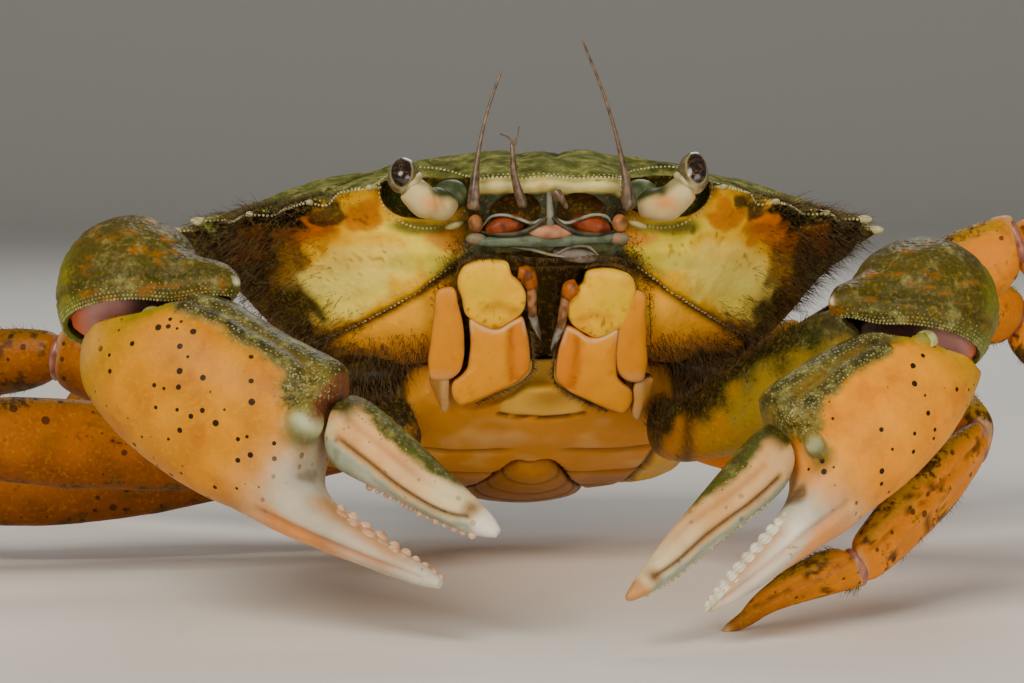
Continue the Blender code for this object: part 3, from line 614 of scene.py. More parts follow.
# worn chalky granules along the shell's edges, the palest and the driest marks on it
beadPale = softFinish("LimeWhiteGranule", "#A0985C", "#D8D09A", lumpMm=0.8, high=0.02, rough=0.5, wet=0.0)
# the same granules where they still carry the shell's olive
beadOlive = softFinish("OliveGranule", "#565A2A", "#A8A668", lumpMm=0.8, high=0.02, rough=0.5, wet=0.0)
# hard white biting edges with a damp shine
beadEnamel = softFinish("WhiteClawTooth", "#CFC6A8", "#F6F0DE", lumpMm=1.0, high=0.02, rough=0.35, wet=0.2)
# the crusher's blunt peach coloured teeth, as damp as the white ones
beadClaw = softFinish("PeachMolarTooth", "#C08458", "#E8C4A0", lumpMm=1.1, high=0.03, rough=0.35, wet=0.2)
# chitin bristles clogged with silt: dull brown, lighter in tufts
hairBrown = softFinish("BrownBristle", "#241A08", "#86683A", lumpMm=0.9, high=0.02, rough=0.6, wet=0.0)
# many short rings, drawn as lumps coarser than they are, so that they show
feelerShell = softFinish("RingedFeelerShell", "#30231A", "#84694A", lumpMm=0.7, high=0.04, rough=0.4, wet=0.1)
print("finishes ready")


carapace = {
    "browY": -21.8, "rearY": 33.0, "middleY": 3.0, "halfWidth": 34.0, "domeHigh": 7.2, "bellyTaper": 0.42,
    # the left half of its outline, from the middle of the brow round to the rear
    "brow": ((0.0, 0.0), (1.6, 0.5), (2.7, 0.8), (4.6, 0.3), (6.3, 0.8), (7.3, 2.0)),
    "socketEdge": ((8.3, -18.0), (10.6, -17.0), (13.4, -17.2), (15.6, -18.1)),
    "notches": ((16.6, -18.3), (21.0, -16.0), (26.3, -12.5), (31.2, -7.5), (33.5, -2.2), (34.6, 2.2)),
    "teeth": ((17.3, -19.6), (23.0, -16.7), (28.8, -12.6), (33.9, -6.6), (36.4, -0.7)),
    "toothLevels": (-0.6, -1.3, -1.4, -0.6, -0.2, -0.6),
    "beadsTo": (36.6, 6),  # how far out and back the rim's granules go
    "flank": ((32.6, 7.4, -1.2), (29.2, 13.8, -2.0), (25.4, 20.0, -3.0), (21.4, 25.8, -4.0)),
    "rear": ((17.0, 30.3, -4.6), (11.5, 32.6, -4.8), (5.8, 33.0, -4.6)),
    # the wall under the rim: share of the outline, depth, share of the teeth, share of the rim's rise
    "wall": ((1.0, 0.0, 1.0, 1.0), (0.985, 1.1, 0.55, 1.0), (0.93, 3.2, 0.0, 0.5), (0.86, 6.4, 0.0, 0.2),
             (0.79, 10.0, 0.0, 0.0), (0.70, 13.6, 0.0, 0.0), (0.58, 16.5, 0.0, 0.0)),
    "fineStep": 0.28, "coarseStep": 0.62, "domeRows": 60, "wallSteps": 11,  # how closely its skin is sampled
    "eyeSocket": (11.6, -18.4, -0.35), "eyeSocketSize": (4.45, 3.5, 3.15), "eyeSocketLean": 6,
    "feelerPit": (3.25, -20.0, -3.1), "feelerPitSize": (2.55, 1.9, 1.85), "feelerPitLean": 14,
    # the beaded ridge under the cheek; then the back's grooves, and its swellings as x, y, size and height
    "ridge": ((7.0, -16.3, -5.7), (9.3, -14.6, -7.2), (12.1, -13.9, -8.9), (15.2, -11.9, -10.3),
              (18.6, -8.6, -11.2), (21.6, -3.5, -11.5), (24.2, 3.0, -11.3), (25.5, 11.0, -10.6)),
    "grooves": (((1.3, -15), (2.3, -9), (5.6, -3.8), (4.2, 1.4), (3.2, 7.5), (4.8, 15), (7.8, 23)),
                ((5.6, -3.8), (11, -6.6), (17, -9.4), (22.5, -11.5)),
                ((3.4, 9.5), (8.5, 8.6), (15, 12.0))),
    "swellings": ((5.6, -11, 4.6, 0.40), (14, -12, 4.5, 0.30), (21, -3, 8.0, 0.35), (14, 3, 7.0, 0.25),
                  (16.5, 15, 9.0, 0.45), (0, 12, 4.2, 0.40), (0, 22, 4.0, 0.25), (0, -5, 3.4, 0.30)),
}


def halfOutline(c):
    # x, y and z of each point, and how far a tooth carries it outwards
    found = [(x, c["browY"] + back, 0.0, 0.0, 0.0) for x, back in c["brow"]]
    found += [(x, y, -0.1, 0.0, 0.0) for x, y in c["socketEdge"]]
    for k, tip in enumerate(c["teeth"]):
        here, after = Vector(c["notches"][k]), Vector(c["notches"][k + 1])
        base = here.lerp(after, 0.3)
        outward = Vector((after.y - here.y, here.x - after.x)).normalized() * 0.9
        level = c["toothLevels"]
        found.append((*base, level[k], *(Vector(tip) - base)))
        found.append((*here.lerp(after, 0.68), level[k], *outward))
        found.append((*after, level[k + 1], 0.0, 0.0))
    return found + [(*point, 0.0, 0.0) for point in c["flank"] + c["rear"]]


def carapaceColumns(c):
    # the whole outline, sampled closely in front and more loosely behind
    half = halfOutline(c)
    other = [(-x, y, z, -tx, ty) for x, y, z, tx, ty in reversed(half[1:])]
    line = smoothThrough([*half, (0.0, c["rearY"], -4.5, 0.0, 0.0), *other], 24, closed=True)
    line = np.vstack([line, line[:1]])
    steps = np.linalg.norm(np.diff(line[:, :2] + line[:, 3:], axis=0), axis=1)
    spacing = c["fineStep"] + (c["coarseStep"] - c["fineStep"]) * step(line[:-1, 1], -2, 10)
    along = np.concatenate([[0], np.cumsum(steps / spacing)])
    wanted = np.linspace(0, along[-1], round(along[-1]) + 1)[:-1]
    return np.stack([np.interp(wanted, along, line[:, k]) for k in range(5)], axis=1)


def bellyLoss(c, y):
    # the wall's depth shrinks towards the rear
    return c["bellyTaper"] * (y - c["browY"]) / (c["rearY"] - c["browY"])


def carapaceRing(c, columns, shrink, depth, tooth, level):
    # the outline shrunk to its middle, nearer to an oval the smaller it gets, at a depth under the rim
    x, y, z, tx, ty = columns.T
    ahead = y - c["middleY"]
    reach = np.where(ahead > 0, c["rearY"] - c["middleY"], c["middleY"] - c["browY"])
    smooth = 1 / np.hypot(x / c["halfWidth"], ahead / reach)
    share = shrink * (1 + (smooth - 1) * (1 - shrink**2))
    px, py = x * share, c["middleY"] + ahead * share
    pz = z * level - depth * (1 - bellyLoss(c, py) * np.clip(depth / 2.4, 0, 1))
    return np.stack([px + tx * tooth, py + ty * tooth, pz], axis=1)


def carapaceForm(c):
    # rings from the top of the dome out to the rim, then down the wall
    columns = carapaceColumns(c)
    rings = []
    for t in np.linspace(0, 1, c["domeRows"])[:-1]:
        shrink = 1 - 0.97 * (1 - t) ** 1.3
        rise = c["domeHigh"] * (1 - shrink**2.3) ** 0.9
        rings.append(carapaceRing(c, columns, shrink, -rise, step(shrink, 0.88, 1.0), shrink**2))
    for shrink, depth, tooth, level in smoothThrough(c["wall"], c["wallSteps"]):
        rings.append(carapaceRing(c, columns, shrink, depth, np.clip(tooth, 0, 1), level))
    top = (0, c["middleY"], c["domeHigh"])
    bottom = (0, c["middleY"], -c["wall"][-1][1] * (1 - bellyLoss(c, c["middleY"])))
    return loft(rings, (top, bottom))


def grooveLines(c):
    return [smoothThrough(groove, 5) for groove in c["grooves"]]


def shapeCarapace(c, mesh):
    # grooves, swellings and lumps of the back
    points, normals = readPoints(mesh), readNormals(mesh)
    x, y, z = points.T
    top = step(normals[:, 2], 0.15, 0.5)
    under = step(-z, 0.4, 1.6) * step(-y, -12, 4)
    move = np.zeros(len(points))
    folded = foldedX(points)
    flat = folded[:, :2]
    for groove in grooveLines(c):
        move -= 0.42 * valley(fromLine(flat, groove), 0.8) * top
    for sx, sy, size, high in c["swellings"]:
        move += high * valley(np.hypot(flat[:, 0] - sx, y - sy), size * 0.6) * top
    coarse, small = roughly(points, 2.6, 3.0), roughly(points, 0.9, 7.0)
    move += top * (0.16 * coarse + 0.07 * small)
    # the beaded ridge under each cheek, the groove below it and the swelling below that
    ridge = smoothThrough(c["ridge"], 6)
    lower = ridge + np.array((0.35, 0.5, -0.75))
    move += under * (0.42 * valley(fromLine(folded, ridge + np.array((0, 0, 0.2))), 0.6))
    move -= under * 0.6 * valley(fromLine(folded, lower), 0.42)
    move += 0.8 * np.clip(patch(folded, (15.0, -6.5, -13.2), (7.6, 8.5, 3.4)), 0, 1) ** 0.7
    move += under * (0.35 * patch(folded, (15, -14.5, -6.5), (8, 5, 4)) + 0.07 * coarse + 0.04 * small)
    # the rolled lip of the brow, and hollows beside the mouth
    lip = step(-np.abs(x), -7.2, -6.4) * step(-y, 16, 18)
    move += lip * (0.30 * valley(z + 0.75, 0.5) - 0.25 * valley(z + 1.75, 0.3))
    move -= 0.5 * patch(folded, (7.6, -17.5, -5.2), (1.5, 3, 2.6))
    pushOut(mesh, points, normals, move)


def pitShape(c, side):
    shape = bmesh.new()
    for name in ("eyeSocket", "feelerPit"):
        x, y, z = c[name]
        turn = Matrix.Rotation(math.radians(c[name + "Lean"]) * side, 4, "Y")
        where = Matrix.Translation((x * side, y, z)) @ turn @ Matrix.Diagonal((*c[name + "Size"], 1.0))
        bmesh.ops.create_uvsphere(shape, u_segments=48, v_segments=28, radius=1.0, matrix=where)
    return shape


def carved(mesh, *cutters):
    # the mesh with closed shapes cut out of it
    for shape in cutters:
        cutter = bpy.data.objects.new("cutter", toMesh("cutter", shape))
        bpy.context.scene.collection.objects.link(cutter)
        mesh = applied(mesh, ("BOOLEAN", {"operation": "DIFFERENCE", "solver": "EXACT", "object": cutter}))
        bpy.data.objects.remove(cutter)
    return mesh


def mouthCutter(half, floor, top):
    whole = [*half, *((-x, down) for x, down in reversed(half) if x > 0)]
    return loft([[inBody(mouthPoint(x, down, out)) for x, down in whole] for out in (floor, top)])


# x, z, half width, half height, colour and strength, laid one over another
cheekMarks = (
    (17.0, -6.0, 12.0, 6.0, "#F4B400", 1.0), (13.0, -5.2, 5.5, 2.6, "#FFE444", 0.95),
    (20.0, -8.6, 6.0, 2.6, "#FFE65C", 0.95), (17.5, -5.6, 4.0, 1.6, "#F4B000", 0.7),
    (9.0, -4.4, 1.9, 1.3, "#F49A3C", 0.8), (23.0, -3.2, 3.2, 1.5, "#E87400", 0.9),
    (17.6, -2.6, 2.0, 1.1, "#CC7408", 0.8), (21.6, -4.0, 2.6, 1.0, "#B86A08", 0.7),
    (18.6, -7.0, 6.0, 2.2, "#FFEC74", 0.55),
    (25.5, -5.5, 2.5, 4.5, "#5E380C", 0.7), (28.5, -4.5, 3.0, 3.0, "#33210A", 0.9),
    (32.5, -5.0, 5.0, 7.0, "#171006", 1.0), (25.5, -1.4, 3.5, 1.5, "#120F06", 1.0),
    (20.6, -1.9, 1.6, 1.2, "#20221A", 0.9), (26.0, -10.0, 4.5, 3.0, "#241706", 0.95),
    (29.0, -3.2, 2.4, 0.9, "#9A5208", 0.5),
)


def paintCarapace(c, mesh):
    # yellow cheeks with orange and brown marks over a dark rim
    points, normals = readPoints(mesh), readNormals(mesh)
    x, y, z = points.T
    wide = np.abs(x)
    n1, n2, n3 = roughly(points, 3.0, 1.0), roughly(points, 1.1, 5.0), roughly(points, 2.2, 8.0)
    top = step(z - (-0.35 - 0.02 * wide) + n2 * 0.12, -0.15, 0.3) * step(normals[:, 2], -0.1, 0.35)
    tint = plain(len(points), "#3A240C")
    side = np.stack([wide, z], axis=1)
    torn = side + np.stack([1.5 * n3 + 0.5 * n2, 0.9 * n1 + 0.4 * n2], axis=1)
    ragged = 1 + 0.30 * n1 + 0.22 * n2
    front = step(-y, -6, 2)
    for k, (mx, mz, rx, rz, code, strength) in enumerate(cheekMarks):
        spread = side if k == 0 else torn
        lay(tint, code, step(patch(spread, (mx, mz), (rx, rz)) * ragged, 0.1, 0.5) * strength * front)
    speckled = step(roughly(points, 0.55, 3.0), 0.28, 0.42) * step(n1 + 0.5 * n3, -0.2, 0.4)
    lay(tint, "#8A5E08", speckled * patch(side, (17, -4.5), (10, 4.5)) * front * 0.8)
    lay(tint, "#5A6A20", step(patch(side, (11.5, -6.9), (4.5, 1.2)) * ragged, 0.2, 0.7) * front * 0.35)
    # below the ridge, and the ridge with the dark line under it
    folded = foldedX(points)
    ridge = smoothThrough(c["ridge"], 6)
    above = heightOn(np.array(c["ridge"])[:, [0, 2]], wide)
    low = step(above - z + 0.15 * n2, 0.2, 0.7) * step(wide, 8.5, 9.5)
    lay(tint, "#FFB01C", low * step(-y, -8, 2))
    lay(tint, "#E8963C", low * step(-z, 12.4, 14.6) * 0.7)
    # painted light: a paler patch on the bulge below the ridge, which faces down
    lay(tint, "#FFB82C", low * patch(folded, (12, -11, -11.2), (4, 6, 1.8)) * 0.7)
    lay(tint, "#241706", low * step(wide + n1 * 1.5 + 0.35 * (z + 12), 19.5, 22.5))
    lay(tint, "#130D05", valley(fromLine(folded, ridge + np.array((0.3, 0.4, -0.6))), 0.55) * 0.95)
    crest = valley(fromLine(folded, ridge + np.array((0, -0.1, 0.35))), 0.55)
    lay(tint, "#4F4A1E", crest * 0.85 * step(wide, 7, 10))
    # the middle of the face, from the brow's pale band down to the mouth
    middle = step(-wide - 0.3 * n2, -8.4, -7.2) * front
    lay(tint, "#3B4230", middle * step(-z, 1.0, 1.6))
    lay(tint, "#5E6A4C", middle * step(-z, 4.4, 5.0))
    lay(tint, "#5A4A20", middle * step(-z + 0.25 * n2, 6.0, 6.8))
    lay(tint, "#4F4B14", middle * patch(side, (0.0, -8.3), (1.6, 1.2)) * 0.9)
    brow = step(-wide, -7.3, -6.9) * step(z + 0.12 * n2, -1.55, -1.25) * step(-y, 17.5, 18.5)
    lay(tint, "#CFC06A", brow)
    lay(tint, "#E2D69A", brow * valley(z + 0.75, 0.35) * 0.8)
    lay(tint, "#7A7030", brow * step(n1 + n2, 0.3, 0.8) * 0.7)
    lay(tint, "#C89A50", brow * step(n3 - n2, 0.2, 0.7) * 0.6)
    lay(tint, "#3A2C10", step(-z + 0.3 * n2, 6.0, 7.5) * step(-wide + 0.4 * n1, -10.2, -8.8) * front * 0.9)
    underEye = step(patch(folded, (11.6, -18.0, -3.7), (5.0, 3, 1.2)) * ragged, 0.2, 0.6)
    lay(tint, "#4E5228", underEye * (1 - top) * 0.85)
    # the rear wall, and the back with its grooves
    rear = step(y, -3, 4) * (1 - top)
    lay(tint, "#4E4A1C", rear * step(z, -9, -5))
    lay(tint, "#8A7A3C", rear * step(n2 + n1, 0.2, 0.7) * 0.5)
    lay(tint, "#52561E", top)
    lay(tint, "#74743A", top * step(n1, 0.0, 0.5) * 0.6)
    lay(tint, "#8E6A24", top * step(n3 + n2, 0.4, 0.9) * 0.5)
    for groove in grooveLines(c):
        lay(tint, "#1E200C", top * valley(fromLine(folded[:, :2], groove), 0.9) * step(y, -14, -10) * 0.9)
    return tint, top, folded


def makeCarapace(c):
    # the dome and its wall, carved for the eyes, the feelers and the mouth
    mesh = toMesh("carapace", carapaceForm(c))
    shapeCarapace(c, mesh)
    outside, skin = surfaceOf(mesh), mesh.copy()
    recess = mouthCutter(mouth["recess"], mouth["recessFloor"], mouth["recessTop"])
    mesh = carved(mesh, pitShape(c, 1), pitShape(c, -1), recess)
    tint, top, folded = paintCarapace(c, mesh)
    points = readPoints(mesh)
    away = np.array([outside.find_nearest(Vector(p))[3] for p in points])
    inside = step(away, 0.05, 0.3)
    eye = step(folded[:, 0], 6.3, 6.7) * step(folded[:, 2], -5.5, -5.0)
    pit = step(-folded[:, 0], -6.2, -6.0) * step(folded[:, 2], -6.0, -5.6)
    n = roughly(points, 1.7, 9.0)
    lay(tint, "#3A2C12", inside)
    lay(tint, "#453418", inside * (1 - eye) * step(-points[:, 1], 15.5, 17.5))
    lay(tint, "#2E3410", inside * eye)
    lay(tint, "#5A3020", inside * pit * step(n, 0.0, 0.5) * 0.8)
    x, y, _ = folded.T
    sunk = sum(valley(fromLine(folded[:, :2], groove), 1.1) for groove in grooveLines(c)) * step(y, -14, -10)
    moss = top * (0.78 + 0.3 * n - 0.6 * np.clip(sunk, 0, 1))
    moss += (1 - top) * (0.34 * step(x, 22, 30) + 0.06 * n)
    moss = np.maximum(moss, (1 - top) * 0.42 * patch(folded, (22.5, -10, -1.4), (9, 9, 1.5)))
    grain = top * (0.55 + 0.45 * step(-y, -6, 10)) + (1 - top) * 0.25
    writePoints(mesh, fromBody(points))
    addPiece("carapaceShell", mesh, backShell, "shell_green", ["carapace"], tint,
             moss=moss * (1 - inside), grain=grain * (1 - inside))
    return outside, skin


# hairs of each part of the coat, kept for makeCoats
coat = {"carapaceSetae": [], "undersideSetae": [], "mouthSetae": [], "limbSetae": []}
setae = {
    # middle and radii of the patch they grow on, how many, their length, and their lie at the crab's left
    "patches": (
        ((30, -6, -4.5), (9, 11, 5.5), 2600, 1.9, (0.7, -0.6, -0.3)),
        ((25, -11, -0.9), (10, 9, 1.3), 1700, 1.0, (0.5, -0.8, 0.25)),
        ((13, -7, -14.6), (9, 8, 2.0), 2400, 1.9, (0.15, -0.65, -0.7)),
        ((21, -4, -11.5), (5, 8, 3.0), 1300, 1.9, (0.4, -0.7, -0.4)),
        ((8.3, -16.4, -6.2), (1.5, 4, 1.9), 700, 0.55, (-0.3, -0.8, -0.3)),
        ((10.0, -13.0, -9.5), (1.0, 4, 3.2), 420, 0.6, (-0.2, -0.8, -0.3)),
        ((7.4, -19.0, -3.6), (1.2, 3, 2.4), 450, 0.8, (-0.1, -0.8, 0.1)),
    ),
    # lines over the mouth: x and share down it, the height, the lie, the length and the spacing
    "lines": (
        (((-8.6, -0.05), (-4, -0.08), (0, -0.06), (4, -0.08), (8.6, -0.05)),
         0.1, (0, -0.6, -0.75), 0.7, 0.045),
        (((-8.2, 0.02), (-6, -0.03), (-3.6, -0.01), (-1, 0.0), (1.2, 0.0), (3.6, 0.0), (8.4, 0.0)),
         -0.2, (0, -0.6, -0.6), 0.6, 0.06),
        (((8.7, 0.10), (8.3, 0.02), (7.0, -0.03), (5.0, -0.04), (3.8, -0.02)),
         0.2, (0.1, -0.7, 0.7), 0.45, 0.05),
        (((1.45, 0.45), (1.2, 0.60), (1.3, 0.73), (2.1, 0.79), (4.5, 0.87), (6.6, 0.94)),
         0.5, (-0.6, -0.6, -0.5), 0.75, 0.035),
        (((10.3, 0.16), (10.5, 0.35), (10.7, 0.55), (10.8, 0.70)), -0.5, (0.2, -0.8, -0.3), 0.5, 0.07),
        (((1.3, 0.0), (1.2, 0.2), (1.2, 0.45)), -1.2, (-0.1, -0.9, -0.3), 1.0, 0.05),
        (((2.3, 0.10), (1.9, 0.20), (2.2, 0.31)), 0.4, (-0.7, -0.7, 0.0), 0.6, 0.04),
    ),
    "undersideBelow": -11,  # patches whose middle is lower than this belong to the underside's coat
}


def grow(piece, roots, lies, length, unwrapped, droop=0.3, thin=0.033):
    # hairs at their roots, scattered about their lie and of mixed length
    dice = np.random.default_rng(len(roots) + 7 * len(coat[piece]))
    lies = lies / np.linalg.norm(lies, axis=1)[:, None] + dice.normal(0, 0.26, lies.shape)
    falls = np.array((0, 0, -droop)) + dice.normal(0, 0.16, lies.shape)
    lengths = length * dice.uniform(0.45, 1.35, len(roots))
    coat[piece].append((roots, lies, falls, lengths, np.full(len(roots), thin), unwrapped))


def aroundBody(spots):
    # an unwrap of the body's skin: the angle about its upright axis and the height
    turn = np.arctan2(spots[:, 0], -spots[:, 1]) / (2 * math.pi) + 0.5
    return np.stack([0.04 + 0.92 * turn, np.clip((spots[:, 2] + 24) / 36, 0.02, 0.98)], axis=1)


def makeBodySetae():
    folded = foldedX(readPoints(bodySkin))
    ahead = readNormals(bodySkin)[:, 1] < 0.3
    for place, radii, count, length, lie in setae["patches"]:
        spots, normals, _ = sampled(bodySkin, patch(folded, place, radii) * ahead, count)
        side = np.sign(spots[:, :1])
        lies = normals * 0.35 + np.hstack([side * lie[0], side * 0 + lie[1], side * 0 + lie[2]])
        piece = "undersideSetae" if place[2] < setae["undersideBelow"] else "carapaceSetae"
        grow(piece, fromBody(spots), lies @ np.array(bodyTurn).T, length, aroundBody(spots))
    long = mouth["rowScale"]
    for line, out, lie, length, every in setae["lines"]:
        for side in (-1, 1):
            crosses = line[0][0] < 0
            if crosses and side > 0:
                continue
            shift = mouth["shift"]["L" if side > 0 else "R"]["lower"][0]
            lean = 0.0 if crosses else long * side * mouth["lean"]
            moved = np.array(line) * (side, long) + (side * shift, lean)
            rows = evenly(smoothThrough(moved, 5), every) / (1, long)
            roots = np.array([mouthPoint(x, down, out) for x, down in rows])
            lies = np.tile(bodyTurn @ Vector((lie[0] * side, lie[1], lie[2])), (len(roots), 1))
            grow("mouthSetae", roots, lies, length, aroundBody(bodyCoords(roots)), 0.1)


def makeCoats():
    # one solid mesh of bristles for each part of the coat
    for name, parts in coat.items():
        hairs = [np.concatenate(kind) for kind in zip(*parts)]
        addPiece(name, bristles(*hairs), hairBrown, "feeler_brown")


bodySurface, bodySkin = makeCarapace(carapace)
makeBodySetae()
print("carapace ready")


def beadRow(beads, surface, line, every, radius, jitter=0.15, sink=0.25):
    # beads that follow the body's surface below a guide line
    for point in evenly(np.array(line, float), every):
        found, normal, _, _ = surface.find_nearest(Vector(point))
        size = radius * (1 + jitter * random.uniform(-1, 1))
        beads.append((onBody(*(found - normal * size * sink)), bodyTurn @ normal, size))


def makeCarapaceBeads(c):
    # pale granules in double rows along rim and ridges and in a ring about each eye, and worn tooth tips
    beads = []
    wide, back = c["beadsTo"]
    columns = carapaceColumns(c)
    rim = carapaceRing(c, columns, 1.0, 0.0, 1.0, 1.0)
    rim = rim[(rim[:, 1] < back) & (np.abs(rim[:, 0]) < wide)]
    rim = rim[np.argsort(np.arctan2(rim[:, 0], -rim[:, 1]))]
    socket, (rx, _, rz) = np.array(c["eyeSocket"]), c["eyeSocketSize"]
    for part in (rim[rim[:, 0] < -socket[0]], rim[np.abs(rim[:, 0]) < socket[0]], rim[rim[:, 0] > socket[0]]):
        kept = part[np.abs(np.abs(part[:, 0]) - socket[0]) > rx * 0.96]
        beadRow(beads, bodySurface, kept, 0.42, 0.15)
        beadRow(beads, bodySurface, kept + np.array((0, 0.3, 0.45)), 0.5, 0.11)
    for side in (1, -1):
        sign = np.array((side, 1, 1))
        ridge = smoothThrough(c["ridge"][1:], 6) * sign
        beadRow(beads, bodySurface, ridge, 0.46, 0.17)
        beadRow(beads, bodySurface, ridge + np.array((0, -0.2, 0.5)), 0.62, 0.10)
        turns = np.radians(np.linspace(-178, 178, 90))
        across, high = socket[0] + rx * 1.03 * np.cos(turns), socket[2] + rz * 1.04 * np.sin(turns)
        for point in evenly(np.stack([across, np.full(len(turns), -19.5), high], 1), 0.4):
            start = Vector(point * sign)
            found, normal, _, _ = bodySurface.ray_cast(start - Vector((0, 6, 0)), Vector((0, 1, 0)))
            if found is not None and found.y < -12.5:
                beads.append((onBody(*found), bodyTurn @ normal, 0.14 * random.uniform(0.8, 1.15)))
    addPiece("carapaceGranules", granules(beads), beadPale, "shell_pale")
    shape = bmesh.new()
    for side in (1, -1):
        for k, (tx, ty) in enumerate(c["teeth"]):
            tip = onBody(tx * side * 0.985, ty * 0.985, c["toothLevels"][k] + 0.1)
            outward = bodyTurn @ Vector((tx * side * 0.4, ty, 0)).normalized()
            large = 1.0 + 0.5 * (k > 2)
            addBall(shape, tip, (0.34 * large, 0.30 * large, 0.7 * large), outward)
    addPiece("carapaceToothTips", toMesh("carapaceToothTips", shape), beadPale, "shell_pale")


makeCarapaceBeads(carapace)
print("carapace granules ready")


def makeMouthPlates(side, label):
    # three plates and a foot on each side, each a low crown over its outline
    stretch = (mouth["foot"] - mouth["top"]).length  # millimetres for one unit down the mouth
    lean = side * mouth["lean"] * stretch
    for name in ("lower", "upper", "strip", "foot plate"):
        outward, lower = mouth["shift"][label][name]
        drop = lean + lower * stretch
        outline = [(x + outward, down * stretch + drop) for x, down in mouth[name]]
        edge = smoothThrough(outline, 6, closed=True)
        if name == "strip" and label == "R":
            edge[:, 0] += 0.55 * step(edge[:, 0], 8.0 + outward, 10.4 + outward) * (edge[:, 1] / stretch)
        centre = edge.mean(axis=0)
        sunk = {"foot plate": 0.55, "strip": 0.15}.get(name, 0.0)
        rings = []
        for out, grow in mouth["crown"]:
            ring = centre + (edge - centre) * grow
            rings.append([mouthPoint(side * x, down / stretch, out - sunk) for x, down in ring])
        pole = mouthPoint(side * centre[0], centre[1] / stretch, mouth["crownTop"] - sunk)
        mesh = toMesh(name, loft(rings, (None, pole)))
        mesh = applied(mesh, ("SUBSURF", {"levels": 1, "render_levels": 1}))
        points, normals = readPoints(mesh), readNormals(mesh)
        flat = mouthCoords(points)
        flat[:, 0] = flat[:, 0] * side - outward
        flat[:, 1] = flat[:, 1] * stretch - drop
        edge -= (outward, drop)
        inward = fromLine(flat[:, :2], np.vstack([edge, edge[:1]]))
        n, n2 = roughly(points, 1.6, 4.0), roughly(points, 0.5, 2.0)
        tint = plain(len(points), mouth["colours"][name])
        lay(tint, "#DC8A00", step(n, 0.0, 0.6) * 0.4)
        lay(tint, "#B87000", step(-n + n2, 0.4, 0.9) * 0.35)
        front = step(normals @ np.array(bodyTurn @ Vector((0, -0.85, -0.5))), 0.3, 0.7)
        move = 0.04 * n
        if name == "lower":
            # the groove on the lower plate's inner side, carved and painted darker orange as painted shade
            near = valley(fromLine(flat[:, :2], np.array(mouth["groove"]) * (1, stretch)), 0.4) * front
            move -= 0.30 * near
            lay(tint, "#B05400", near * 0.85)
            lay(tint, "#E07C00", step(-flat[:, 0], -3.2, -2.9) * 0.7)
            brim = step(-flat[:, 1], -0.50 * stretch, -0.44 * stretch)
            lay(tint, "#D8BC94", step(-inward, -0.42, -0.16) * brim * front * 0.8)
        if name == "upper":
            dent = valley(fromLine(flat[:, :2], np.array(mouth["dent"]) * (1, stretch)), 0.5)
            move -= 0.16 * dent * front
            lay(tint, "#C87400", dent * 0.5)
            lay(tint, "#7A4A00", step(n2, 0.3, 0.5) * step(flat[:, 1], 0.16 * stretch, 0.3 * stretch) * 0.6)
            lay(tint, "#E8C400", patch(flat[:, :2], (6.4, 0.14 * stretch), (2.0, 1.8)) * 0.6)
        if name == "strip":
            lay(tint, "#DDB07A", step(flat[:, 1], 0.64 * stretch, 0.74 * stretch) * 0.6)
        if name == "foot plate":
            lay(tint, "#94641C", step(flat[:, 0], 9.5, 10.2) * 0.9)
        lay(tint, "#C8A070", step(-inward, -0.22, -0.08) * front * 0.75)
        # painted shade: each plate turns near black where it sinks into the mouth's recess between its
        # neighbours
        lay(tint, "#2A1606", step(-flat[:, 2], -0.30 + sunk, 0.30 + sunk))
        pushOut(mesh, points, normals, move)
        nodes = [f"mouthpart_{name}_{label}"] if name != "foot plate" else []
        piece = f"mouthPlate_{name.replace(' ', '')}_{label}"
        addPiece(piece, mesh, plateShell, "shell_orange", nodes, tint, grain=0.4)


palps = {
    # knots of each as x and share down the mouth, and the radii of its three joints
    "R": ((-2.9, 0.02), (-1.9, 0.05), (-1.5, 0.12), (-1.42, 0.31), (-0.5, 0.49)),
    "L": ((2.8, 0.10), (2.2, 0.13), (1.75, 0.19), (1.40, 0.39), (0.5, 0.55)),
    "radii": ((0.55, 0.95, 0.62), (0.58, 0.60, 0.50), (0.50, 0.42, 0.06)),
}


def makePalp(label):
    # three joints that hang from the inner corner of the upper plate over the slit of the mouth
    knots = palps[label]
    stations = ((0, 1, 2), (2, 3), (3, 4))
    scale = np.array((1, mouth["rowScale"], 1))
    for k, ends in enumerate(stations):
        line = smoothThrough([(*knots[end], 0.75 - 0.15 * k) for end in ends], 6)
        rows = evenly(line * scale, 0.3) / scale
        share = np.linspace(0, 1, len(rows))
        radii = np.interp(share, (0, 0.45, 1), palps["radii"][k])
        mesh = toMesh("palp", tube([mouthPoint(*row) for row in rows], radii, 14, 0.8))
        points = readPoints(mesh)
        tint = plain(len(points), ("#AC5C18", "#A8764C", "#8C8478")[k])
        lay(tint, "#3A2412", step(roughly(points, 0.7, 2.0), -0.05, 0.3) * 0.75)
        away = np.linalg.norm(points - np.array(mouthPoint(*rows[0])), axis=1)
        lay(tint, "#2E2010", valley(away, 0.45) * (k > 0) * 0.8)
        addPiece(f"palp_{('base', 'middle', 'tip')[k]}_{label}", mesh, plateShell, "shell_orange", (), tint)


sides = ((-1, "R"), (1, "L"))
for side, label in sides:
    makeMouthPlates(side, label)
    makePalp(label)


